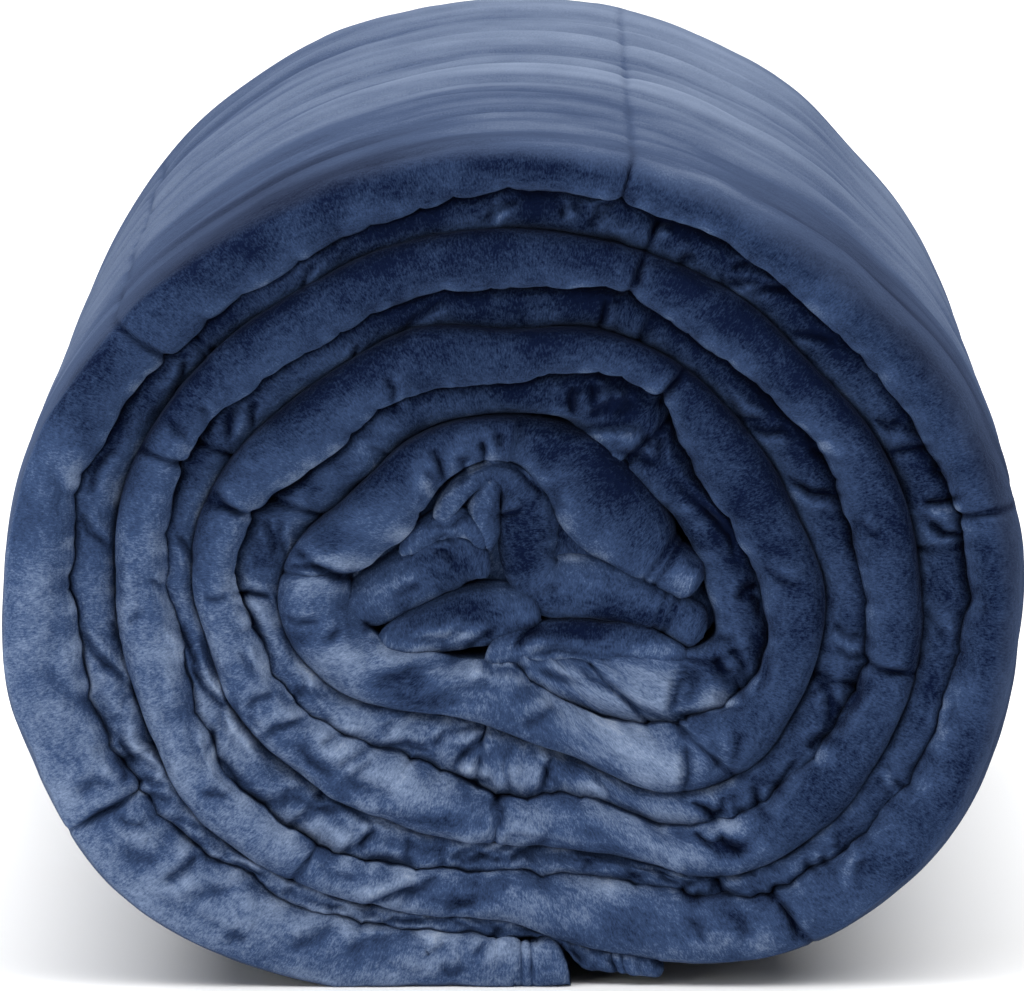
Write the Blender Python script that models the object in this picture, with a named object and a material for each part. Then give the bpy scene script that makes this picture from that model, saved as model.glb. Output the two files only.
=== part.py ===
"""Rolled quilted blanket: folded in half, wound about three and a half turns, resting on a flat spot."""

import math

import bmesh
import bpy
import numpy as np

MM = 0.001

# Driving sizes, in millimetres.
ROLL_LENGTH = 610.0
AXIS_HEIGHT = 104.0
SQUASH = 0.783
TURN_GAP = 1.3
FOLD_SLOT = 0.8
CREASE_DEPTH = 14.0
CREASE_DEPTH_AT_HEM = 17.0
WEB_DEPTH = 22.0
INNER_SET_BACK = 6.0
HEM_WIDTH = 12.0
HEM_STEP = 4.0
HEM_THICKNESS = 4.5

# Quilting: squares sewn through both faces.
SQUARE = 127.0
CROSS_SEAMS = 5
SEAM_DRAW = 2.2
SEAM_FRONT_DRAW = 5.0
SEAM_FLANK = 16.0

# The roll seen from its photographed end. Angles run clockwise from straight down, in degrees. Radii
# are measured across the roll, in millimetres: outer is the outside of a turn, and crease the fold
# line between its two halves. A turn's number goes up towards the middle.
ROLL_COLUMNS = (
    "angle", "outer_1", "crease_1", "outer_2", "crease_2", "outer_3", "crease_3", "outer_4", "crease_4",
)
ROLL_ROWS = (
    (0, 134, 118, 112, 94, 85, 70, 50, 33),
    (15, 138, 118, 112, 96, 84.5, 64, 46, 32),
    (30, 141, 119, 113, 98, 84, 62.5, 49, 32),
    (45, 141, 118, 112, 97, 83.5, 66, 55, 35),
    (60, 136, 116.5, 106, 91.5, 82.5, 67.5, 59, 38),
    (75, 132.5, 114.5, 102.5, 88, 80.5, 68.5, 61, 39),
    (90, 130.5, 113.5, 102, 89.5, 82, 71.5, 60, 40),
    (105, 131.5, 115.5, 104, 92, 83.5, 72, 57.5, 37),
    (120, 133, 115.5, 106, 94.5, 83, 66, 51, 33),
    (135, 134.5, 116, 108, 93, 82.5, 63.5, 51, 34.5),
    (150, 137, 118.5, 110.5, 93, 84.5, 66.5, 54, 36),
    (165, 142, 124, 115, 98, 87.5, 67, 55.5, 37),
    (180, 146, 130, 116.5, 97, 84, 66.5, 55.5, 38),
    (195, 143.5, 128, 114.5, 100, 86.5, 72, 54.5, 33),
    (210, 139.5, 123, 111.5, 93, 84.5, 72.5, 46, 27),
    (225, 135.5, 117.5, 106, 90.5, 79.5, 62, 45.5, 25),
    (240, 133, 116.5, 105, 90.5, 77.5, 58.5, 46.5, 24),
    (255, 131.5, 116.5, 104.5, 89, 77.5, 60, 47.5, 29),
    (270, 131, 118, 105.5, 89.5, 80.5, 64, 50, 36),
    (285, 131.5, 116.5, 108.5, 94, 82.5, 68, 51, 40),
    (300, 136.5, 120.5, 110.5, 96, 84.5, 70, None, None),
    (315, 140, 122.5, 114, 96, 86.5, 64, None, None),
    (330, 139.5, 118, 111, 93, 79.5, 53, None, None),
    (345, 127, 101.5, 92, 73, 58.5, 42, None, None),
)
# The hem at the start lies on the floor, a little before straight down.
START_HEM_COLUMNS = ("angle", "outer", "crease")
START_HEM_ROWS = (
    (-20, 150, 137),
    (-7, 140, 122.5),
)
# The last turn lies round the middle, so its inner face has radii of its own.
CORE_COLUMNS = ("angle", "inner")
CORE_ROWS = (
    (985, 54.5), (1005, 51.5), (1012, 49.5), (1020, 40), (1035, 29), (1050, 20), (1065, 12), (1080, 7),
    (1110, 5), (1140, 5.5), (1170, 7), (1200, 5), (1260, 6), (1320, 5), (1350, 11), (1368, 28),
)
# How far the folded edge sits back from the front of the roll.
FRONT_COLUMNS = ("angle", "set_back")
FRONT_ROWS = (
    (-20, 2), (40, 1.5), (110, 0.5), (200, 0), (300, 1), (380, 3), (470, 1.5), (560, 2), (650, 3.5),
    (740, 5), (830, 3), (920, 4), (1010, 6), (1100, 9), (1180, 5), (1270, 7), (1375, 10),
)
# Quilting seams that run along the roll and pinch its folded edge.
SEAM_ANGLES = (54.5, 130, 192.5, 259, 327, 390, 475, 557.5, 646, 723, 829, 932, 1038, 1173, 1290)

# Stations along the strip, each an angle for each half and a share of the way to hem thickness.
END_COLUMNS = ("outer_half_angle", "inner_half_angle", "outer_hem", "inner_hem")
START_ROWS = (
    (-7, -10.5, 0.5, 0.9), (-6, -9, 0.5, 0.9), (-5, -7.6, 0.5, 0.2), (-3.8, -5.8, 0.5, 0.0),
    (-2.6, -4, 0.5, 0.0), (-1.4, -2, 0.0, 0.0), (4, 4, 0.0, 0.0), (11, 11, 0.0, 0.0),
)
FINISH_ROWS = (
    (1335, 1335, 0.0, 0.0), (1339, 1340, 0.0, 0.0), (1341.5, 1344, 0.6, 0.0),
    (1344.5, 1348.5, 0.6, 0.0), (1347, 1352, 0.6, 0.6), (1350, 1356, 0.6, 0.6),
)
STATION_STEP = 10
EXTRA_STATIONS = (344.5, 347, 353, 356, 997, 1012)
SEAM_SIDE = 5
LEAST_STEP = 3
FLAT_SPOT_END = 16
OUTSIDE_END = 336

# The folded edge of each half: share of its thickness from the outside in, depth from its own front.
RIM_COLUMNS = ("share", "depth")
OUTER_RIM = ((0.0, 11.0), (0.1, 4.0), (0.34, 0.4), (0.66, 0.4), (0.92, 5.0))
INNER_RIM = ((0.12, 8.0), (0.4, 0.5), (0.72, 1.0), (1.0, 9.0))
FOLD_LEAN = 0.35
HEM_POINTS = 6


def wound_column(name):
    """Rows of angle and value for outer or crease, turn after turn, from the start hem to the middle."""
    rows = [(row[0], row[START_HEM_COLUMNS.index(name)]) for row in START_HEM_ROWS]
    for turn in range(4):
        column = ROLL_COLUMNS.index(f"{name}_{turn + 1}")
        rows += [(row[0] + 360 * turn, row[column]) for row in ROLL_ROWS if row[column] is not None]
    return rows


OUTER = wound_column("outer")
CREASE = wound_column("crease")


def smooth_column(rows, angle):
    """Value of a two-column table at an angle, along a curve through its rows."""
    angles = [row[0] for row in rows]
    i = int(np.clip(np.searchsorted(angles, angle) - 1, 0, len(rows) - 2))
    before = rows[max(i - 1, 0)]
    start = rows[i]
    end = rows[i + 1]
    after = rows[min(i + 2, len(rows) - 1)]
    span = end[0] - start[0]
    rise_in = (end[1] - before[1]) / (end[0] - before[0]) * span
    rise_out = (after[1] - start[1]) / (after[0] - start[0]) * span
    t = min(max((angle - start[0]) / span, 0.0), 1.0)
    low = (2 * t**3 - 3 * t**2 + 1) * start[1] + (t**3 - 2 * t**2 + t) * rise_in
    return low + (3 * t**2 - 2 * t**3) * end[1] + (t**3 - t**2) * rise_out


def floor_radius(angle):
    """Radius at which a ray from the axis meets the floor."""
    lean = max(math.cos(math.radians(angle)), 0.1)
    return AXIS_HEIGHT / (SQUASH * lean)


def outer_radius(angle):
    return min(smooth_column(OUTER, angle), floor_radius(angle))


def inner_radius(angle):
    """Face turned to the middle: the next turn's outer face, or the core's own."""
    if angle > CORE_ROWS[0][0]:
        return smooth_column(CORE_ROWS, angle)
    return outer_radius(angle + 360) + TURN_GAP


def seam_share(angle, spread=4.0):
    """1 on a seam along the roll, falling to 0 beside it."""
    gap = min(abs(angle - seam) for seam in SEAM_ANGLES)
    return math.exp(-((gap / spread) ** 2))


def place(angle, radius, depth):
    """Point at a turn angle, a radius and a depth behind the front of the roll."""
    turn = math.radians(angle)
    x = -radius * math.sin(turn)
    y = depth - ROLL_LENGTH / 2
    z = AXIS_HEIGHT - SQUASH * radius * math.cos(turn)
    return (x * MM, y * MM, max(z, 0.0) * MM)


def rim_points(angle, near, far, rim, set_back):
    """Folded edge of one half, from its outside in, pinched back at a seam."""
    draw = SEAM_FRONT_DRAW * seam_share(angle)
    points = []
    for share, depth in rim:
        radius = near + (far - near) * share
        points.append(place(angle, radius, set_back + depth + draw))
    return points


def hem_points(angle, near, far):
    """Back edge of one half, from its inside out, thinned to a flat hem."""
    middle = (near + far) / 2
    half_hem = min(HEM_THICKNESS / 2, (near - far) * 0.35)
    hem_start = ROLL_LENGTH - HEM_WIDTH
    return [
        place(angle, far, hem_start - HEM_STEP),
        place(angle, middle - half_hem, hem_start),
        place(angle, middle - half_hem, ROLL_LENGTH),
        place(angle, middle + half_hem, ROLL_LENGTH),
        place(angle, middle + half_hem, hem_start),
        place(angle, near, hem_start - HEM_STEP),
    ]


def half_radii(angle, near, far, hem):
    """Radii of one half's two faces, drawn together to hem thickness as hem nears 1."""
    middle = (near + far) / 2
    half_hem = min(HEM_THICKNESS / 2, (near - far) / 2)
    if near > floor_radius(angle) - 0.01:
        middle = max(middle, near - half_hem)
    return near + (middle + half_hem - near) * hem, far + (middle - half_hem - far) * hem


def section(outer_angle, inner_angle, outer_hem, inner_hem):
    """Closed outline of both halves at one station, as a list of points."""
    top = outer_radius(outer_angle)
    if outer_angle > FLAT_SPOT_END:
        top -= SEAM_DRAW * seam_share(outer_angle)
    split = smooth_column(CREASE, outer_angle) + FOLD_SLOT / 2
    outer_near, outer_far = half_radii(outer_angle, top, split, outer_hem)
    split = smooth_column(CREASE, inner_angle) - FOLD_SLOT / 2
    inner_near, inner_far = half_radii(inner_angle, split, inner_radius(inner_angle), inner_hem)
    outer_back = smooth_column(FRONT_ROWS, outer_angle)
    inner_back = smooth_column(FRONT_ROWS, inner_angle) + INNER_SET_BACK
    fold_angle = outer_angle + (inner_angle - outer_angle) * FOLD_LEAN
    fold_radius = outer_far + (inner_near - outer_far) * FOLD_LEAN
    fold_depth = CREASE_DEPTH_AT_HEM if outer_hem else CREASE_DEPTH
    ring = rim_points(outer_angle, outer_near, outer_far, OUTER_RIM, outer_back)
    ring.append(place(fold_angle, fold_radius, outer_back + fold_depth))
    ring += rim_points(inner_angle, inner_near, inner_far, INNER_RIM, inner_back)
    ring += hem_points(inner_angle, inner_near, inner_far)
    ring.append(place(inner_angle, inner_near, outer_back + WEB_DEPTH))
    ring.append(place(outer_angle, outer_far, outer_back + WEB_DEPTH))
    ring += hem_points(outer_angle, outer_near, outer_far)
    return ring


def stations():
    """Rows of both halves' angles and hem shares, from the floor to the middle."""
    low = START_ROWS[-1][0]
    high = FINISH_ROWS[0][0]
    seams = [seam for seam in SEAM_ANGLES if low < seam < high]
    flanks = [seam + side for seam in seams for side in (-SEAM_SIDE, SEAM_SIDE) if seam < OUTSIDE_END]
    steps = list(range(low + STATION_STEP, high, STATION_STEP)) + list(EXTRA_STATIONS)
    marks = seams + flanks
    plain = [step for step in steps if min(abs(step - mark) for mark in marks) > LEAST_STEP]
    middle = [(angle, angle, 0.0, 0.0) for angle in sorted(marks + plain)]
    return list(START_ROWS) + middle + list(FINISH_ROWS)


def fill_cap(bm, ring):
    """Closes one end of the strip: a face for each half and one for the fold between them."""
    rim = len(OUTER_RIM)
    web = rim + 1 + len(INNER_RIM) + HEM_POINTS
    outer_loop = ring[: rim + 1] + ring[web + 1 :]
    inner_loop = ring[rim : web + 1]
    web_loop = [ring[rim], ring[web], ring[web + 1]]
    for loop in (outer_loop, inner_loop, web_loop):
        edges = []
        for start, end in zip(loop, loop[1:] + loop[:1]):
            edges.append(bm.edges.get((start, end)) or bm.edges.new((start, end)))
        bmesh.ops.edgeloop_fill(bm, edges=edges)


def wound_strip(bm):
    """The strip as a grid of stations by outline points, wrapped round and welded along its length."""
    rings = [section(*row) for row in stations()]
    along = len(rings) - 1
    across = len(rings[0])
    bmesh.ops.create_grid(bm, x_segments=along, y_segments=across, size=1.0)
    grid = {}
    for vertex in bm.verts:
        i = round((vertex.co.x + 1.0) / 2.0 * along)
        j = round((vertex.co.y + 1.0) / 2.0 * across)
        grid[i, j] = vertex
    for (i, j), vertex in grid.items():
        vertex.co = rings[i][j % across]
    wrapped = {grid[i, across]: grid[i, 0] for i in range(along + 1)}
    bmesh.ops.weld_verts(bm, targetmap=wrapped)
    for i in (0, along):
        fill_cap(bm, [grid[i, j] for j in range(across)])


def turn_angle_of(point):
    """Angle round the first turn of a point on the outside of the roll."""
    across = -point.x / MM
    down = (AXIS_HEIGHT - point.z / MM) / SQUASH
    return math.degrees(math.atan2(across, down)) % 360


def on_outside(face):
    """True for a long face on the outside of the first turn, clear of the flat spot."""
    lengths = [vertex.co.y for vertex in face.verts]
    if max(lengths) - min(lengths) < 0.5 * ROLL_LENGTH * MM:
        return False
    middle = face.calc_center_median()
    angle = turn_angle_of(middle)
    if not FLAT_SPOT_END < angle < OUTSIDE_END:
        return False
    radius = math.hypot(middle.x / MM, (AXIS_HEIGHT - middle.z / MM) / SQUASH)
    return radius > outer_radius(angle) - 4.0


def cut_across(bm, faces, depth):
    """Cuts the faces at one depth behind the front, and returns the faces and the new points."""
    edges = {edge for face in faces for edge in face.edges}
    verts = {vertex for face in faces for vertex in face.verts}
    cut = bmesh.ops.bisect_plane(
        bm,
        geom=list(faces) + list(edges) + list(verts),
        dist=0.000001,
        plane_co=(0, (depth - ROLL_LENGTH / 2) * MM, 0),
        plane_no=(0, 1, 0),
    )
    split = [item for item in cut["geom"] if isinstance(item, bmesh.types.BMFace)]
    points = [item for item in cut["geom_cut"] if isinstance(item, bmesh.types.BMVert)]
    return split, points


def draw_in(vertex):
    """Moves a point on the outside towards the axis by the depth of a seam."""
    angle = turn_angle_of(vertex.co)
    start = min(max((angle - FLAT_SPOT_END) / 20, 0.0), 1.0)
    end = min(max((OUTSIDE_END - angle) / 12, 0.0), 1.0)
    rise = AXIS_HEIGHT * MM - vertex.co.z
    share = SEAM_DRAW * MM * start * end / math.hypot(vertex.co.x, rise)
    vertex.co.x -= vertex.co.x * share
    vertex.co.z += rise * share


def quilt_outside(bm):
    """Cuts rows across the outside and draws them in where the cross seams run."""
    faces = [face for face in bm.faces if on_outside(face)]
    for k in range(CROSS_SEAMS):
        seam = SQUARE * (k + 0.5)
        faces, _ = cut_across(bm, faces, seam - SEAM_FLANK)
        faces, seam_points = cut_across(bm, faces, seam)
        faces, _ = cut_across(bm, faces, seam + SEAM_FLANK)
        for point in seam_points:
            draw_in(point)


def centre_on_origin(bm):
    """Puts the middle of the roll's plan over the origin, its flat spot on the floor."""
    xs = [vertex.co.x for vertex in bm.verts]
    ys = [vertex.co.y for vertex in bm.verts]
    shift = (-(min(xs) + max(xs)) / 2, -(min(ys) + max(ys)) / 2, 0.0)
    bmesh.ops.translate(bm, verts=bm.verts, vec=shift)


def plush_material():
    material = bpy.data.materials.new("blue_plush")
    material.use_nodes = True
    shader = material.node_tree.nodes["Principled BSDF"]
    shader.inputs["Base Color"].default_value = (0.052, 0.088, 0.205, 1.0)
    shader.inputs["Roughness"].default_value = 0.85
    shader.inputs["Metallic"].default_value = 0.0
    return material


def clear_scene():
    for item in list(bpy.data.objects):
        bpy.data.objects.remove(item, do_unlink=True)


def main():
    clear_scene()
    group = bpy.data.collections.new("weighted_blanket")
    bpy.context.scene.collection.children.link(group)
    bm = bmesh.new()
    wound_strip(bm)
    quilt_outside(bm)
    centre_on_origin(bm)
    bmesh.ops.recalc_face_normals(bm, faces=bm.faces)
    mesh = bpy.data.meshes.new("blanket_roll")
    bm.to_mesh(mesh)
    bm.free()
    roll = bpy.data.objects.new("blanket_roll", mesh)
    roll.data.materials.append(plush_material())
    group.objects.link(roll)


main()
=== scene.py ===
"""Rolled plush weighted blanket: the wound cloth with its rims, seams and hems, and a studio round it."""

import math

import bmesh
import bpy
import numpy as np
from bpy.props import FloatProperty, FloatVectorProperty, IntProperty, PointerProperty
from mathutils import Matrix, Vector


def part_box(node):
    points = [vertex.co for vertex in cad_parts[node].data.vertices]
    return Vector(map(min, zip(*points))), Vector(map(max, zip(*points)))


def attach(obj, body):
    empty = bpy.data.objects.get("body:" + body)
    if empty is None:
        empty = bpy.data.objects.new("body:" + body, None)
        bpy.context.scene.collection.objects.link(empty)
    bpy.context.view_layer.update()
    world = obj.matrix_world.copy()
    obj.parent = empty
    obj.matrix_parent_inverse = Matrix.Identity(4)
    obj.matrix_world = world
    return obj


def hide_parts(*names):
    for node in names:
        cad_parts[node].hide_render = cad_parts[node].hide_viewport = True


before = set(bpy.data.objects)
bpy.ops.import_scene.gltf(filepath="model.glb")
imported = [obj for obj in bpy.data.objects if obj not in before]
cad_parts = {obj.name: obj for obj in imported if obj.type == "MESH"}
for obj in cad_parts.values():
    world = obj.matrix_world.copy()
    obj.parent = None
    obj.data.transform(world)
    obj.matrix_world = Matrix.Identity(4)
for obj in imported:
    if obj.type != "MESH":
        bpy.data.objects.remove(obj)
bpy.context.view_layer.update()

bl_info = {
    "name": "Rolled plush blanket",
    "version": (1, 0, 0),
    "blender": (4, 5, 0),
    "location": "View3D > Sidebar > Blanket",
    "description": "Winds a quilted plush blanket, folded in half, and sets a studio round it",
    "category": "Add Mesh",
}

MM = 0.001
NODE_LOW, NODE_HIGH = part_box("blanket_roll")

# The roll seen from its photographed end. Angles run clockwise from straight down, in degrees. Radii
# are measured across the roll, in millimetres: outer is the outside of a turn, and fold the line
# between its two halves. A turn's number goes up towards the middle.
ROLL_COLUMNS = (
    "angle", "outer_1", "fold_1", "outer_2", "fold_2", "outer_3", "fold_3", "outer_4", "fold_4",
)
ROLL_ROWS = (
    (0, 134, 118.7, 113.1, 95.6, 86.6, 71.6, 50.6, 26.6),
    (15, 139, 118.7, 113.1, 97.6, 86.1, 65.6, 47.6, 27.1),
    (30, 143.3, 119.6, 114, 99.4, 85.4, 63.9, 50.4, 29.4),
    (45, 143.5, 118.5, 112.7, 98, 84.5, 67, 56, 34),
    (60, 138.6, 116.7, 106.3, 92, 83, 68, 59.5, 37.5),
    (75, 134.9, 114.5, 102.5, 88, 80.5, 68.5, 61, 39),
    (90, 131.7, 113.5, 102, 89.5, 82, 71.5, 60, 41.8),
    (105, 131.3, 115.5, 104, 92, 83.5, 72, 56.5, 34.8),
    (120, 132.3, 115.5, 106, 94.5, 83, 66, 51.5, 31.2),
    (135, 134.5, 116, 108, 93, 82.5, 63.5, 51, 33),
    (150, 137, 118.5, 110.5, 93, 84.5, 66.5, 54, 37.5),
    (165, 142, 124, 115, 98, 87.5, 67, 56, 42.5),
    (180, 146, 130, 116.5, 97, 84, 66.5, 55.5, 41.5),
    (195, 143.5, 128, 114.5, 100, 86.5, 72, 54.5, 36),
    (210, 139.5, 123, 111.5, 93, 84.5, 72.5, 46, 23.5),
    (225, 135.5, 117.5, 106, 90.5, 79.5, 62, 45.5, 19),
    (240, 134, 116.5, 105, 90.5, 77.5, 58.5, 46.5, 19.5),
    (255, 132.4, 116.5, 104.5, 89, 77.5, 60, 47.5, 25),
    (270, 132.4, 118, 105.5, 89.5, 80.5, 64, 50, 36),
    (285, 133.4, 116.5, 108.5, 94, 82.5, 68, 51, 40),
    (300, 138, 120.6, 110.6, 96.2, 84.7, 70.2, None, None),
    (315, 142, 122.8, 114.4, 96.6, 87.1, 64.6, None, None),
    (330, 142, 118.5, 111.7, 94, 80.5, 54, None, None),
    (345, 128.5, 102.1, 93, 74.4, 59.9, 38.4, None, None),
)
# The hem at the start lies on the floor, a little before straight down.
START_HEM_COLUMNS = ("angle", "outer", "fold")
START_HEM_ROWS = ((-20, 150, 138), (-14, 143, 134), (-10, 141, 131.5), (-8, 140.3, 130), (-6.5, 140, 122))
# Angle and radius of the inner half's hidden face where it lines the last turn. The folds further in
# are pieces of their own.
LINING_ROWS = (
    (972, 47.4), (985, 48.8), (995, 50.5), (1003, 53.5), (1010, 55), (1016, 50), (1023, 38), (1039, 28),
    (1057, 23.5), (1076, 22),
)
# Angle, and how far the folded edge sits back there behind the roll's dished end, in millimetres.
FRONT_ROWS = (
    (-20, 2), (40, 1.5), (110, 0.5), (200, 0), (300, 1), (380, 2), (470, 0.5), (560, 1), (650, 1.5),
    (740, 2), (830, 1), (920, 1.5), (1010, 2), (1100, 3), (1180, 1), (1270, 1.5), (1375, 3),
)
# Angle, and how far the outside of the roll rounds over before its folded edge, in millimetres.
SHOULDER_ROWS = (
    (-10, 5), (0, 5), (25, 6), (45, 8), (90, 12), (125, 14), (165, 22), (185, 26), (196, 30),
    (230, 38), (260, 34), (290, 26), (318, 14), (340, 8), (360, 5),
)
# Angles of the quilting seams that run along the roll and pinch its folded edge.
SEAM_ANGLES = (54.5, 130, 192.5, 259, 327, 390, 475, 557.5, 646, 723, 829, 932, 1038, 1173, 1290)
# Angle, and how crumpled the outer half and the inner half are there, from 0 for smooth to 1.
OUTER_COLUMN = 1
INNER_COLUMN = 2
CRUMPLE_ROWS = (
    (0, 0.8, 1.0), (45, 0.7, 1.0), (80, 0.45, 0.6), (110, 0.25, 0.4), (145, 0.12, 0.35), (180, 0.1, 0.45),
    (215, 0.12, 0.4), (250, 0.18, 0.35), (285, 0.3, 0.5), (320, 0.5, 0.7), (345, 0.7, 0.9), (360, 0.8, 1.0),
)
# Angle, and the share by which the roll is wider at its far end.
FAR_END_ROWS = (
    (0, 0.0), (60, 0.0), (90, -0.016), (112, -0.028), (130, -0.014), (142, 0.004), (156, 0.014),
    (175, -0.002), (200, 0.004), (216, 0.004), (228, -0.018), (245, -0.020), (270, -0.006), (300, 0.0),
    (360, 0.0),
)
# Angle, and the tone on the outside of the roll: on its shoulder, behind that, and far back. It is partly the
# nap's own tone and partly painted light, palest far back over the top.
OUTSIDE_TONE_AND_LIGHT_ROWS = (
    (0, 0.0, 0.05, 0.05), (60, 0.12, 0.14, 0.16), (98, 0.22, 0.25, 0.28), (114, 0.08, 0.14, 0.22),
    (128, -0.06, 0.06, 0.20), (140, -0.30, -0.14, 0.18), (152, -0.42, -0.24, 0.22), (166, -0.30, -0.06, 0.28),
    (178, 0.0, 0.20, 0.33), (196, 0.12, 0.20, 0.36), (208, 0.02, -0.02, 0.33), (220, -0.20, -0.18, 0.22),
    (236, -0.18, -0.18, 0.27), (250, -0.26, -0.12, 0.14), (264, -0.22, -0.18, 0.0),
    (300, -0.16, -0.16, -0.04), (340, 0.0, 0.0, 0.0), (360, 0.0, 0.05, 0.05),
)

# Places read off the photographed end, in pixels of its 1024 x 991 frame. One pixel is PIXEL wide at
# the folded edge, and the frame's middle column and FLOOR_ROW meet where the axis stands on the floor.
PIXEL = 0.2563
MIDDLE_COLUMN = 512
FLOOR_ROW = 989

# Ribbons of cloth in the middle: x and y of the middle line and the thickness there, in pixels.
ARCH_END = (
    (521, 439, 45), (545, 447, 60), (569, 464, 80), (592, 494, 94), (619, 523, 92), (646, 549, 78),
    (664, 564, 60), (684, 577, 54), (702, 588, 51),
)
CORE_RIBBONS = {
    "tongue": (
        (707, 634, 46), (691, 628, 50), (672, 618, 46), (640, 607, 54), (610, 596, 62), (578, 590, 66),
        (550, 588, 60), (533, 572, 56), (527, 545, 62), (527, 518, 62), (521, 497, 48), (508, 481, 34),
        (487, 474, 26), (464, 487, 24), (447, 506, 22), (437, 526, 16),
    ),
    "lobe": ((341, 628, 22), (357, 611, 48), (386, 593, 60), (430, 569, 68), (462, 564, 56), (489, 571, 20)),
    "lens": ((378, 646, 18), (408, 638, 44), (444, 628, 58), (478, 620, 66), (508, 615, 58), (538, 617, 30)),
    "twist": ((497, 478, 10), (489, 492, 22), (483, 512, 34), (486, 536, 30), (490, 552, 12)),
    "tuck": ((402, 556, 14), (422, 540, 32), (450, 527, 38), (472, 534, 30), (485, 552, 12)),
    "bridge": (
        (488, 664, 14), (508, 654, 34), (530, 648, 44), (556, 646, 46), (590, 645, 46), (628, 648, 42),
        (660, 655, 34), (690, 660, 18),
    ),
    "pocket": (
        (352, 602, 30), (392, 566, 70), (436, 532, 90), (482, 530, 110), (530, 548, 120), (580, 566, 100),
        (630, 588, 80), (676, 610, 70), (716, 628, 40),
    ),
}
# The folds sit this far back, and the pocket, which closes the gaps between them, lies behind them.
CORE_SET_BACK = 7.0
POCKET_SET_BACK = 15.0

# Enlarged views of the end that places were read off: left and top in the frame, and the enlargement.
VIEWS = {
    "whole": (0, 0, 1.0),
    "top": (200, 0, 3.136),
    "upper_left": (20, 120, 3.136),
    "upper_right": (560, 120, 3.379),
    "lower_left": (0, 540, 3.483),
    "lower_middle": (330, 620, 3.647),
    "lower_right": (640, 480, 3.075),
    "core": (260, 400, 3.267),
}
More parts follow.
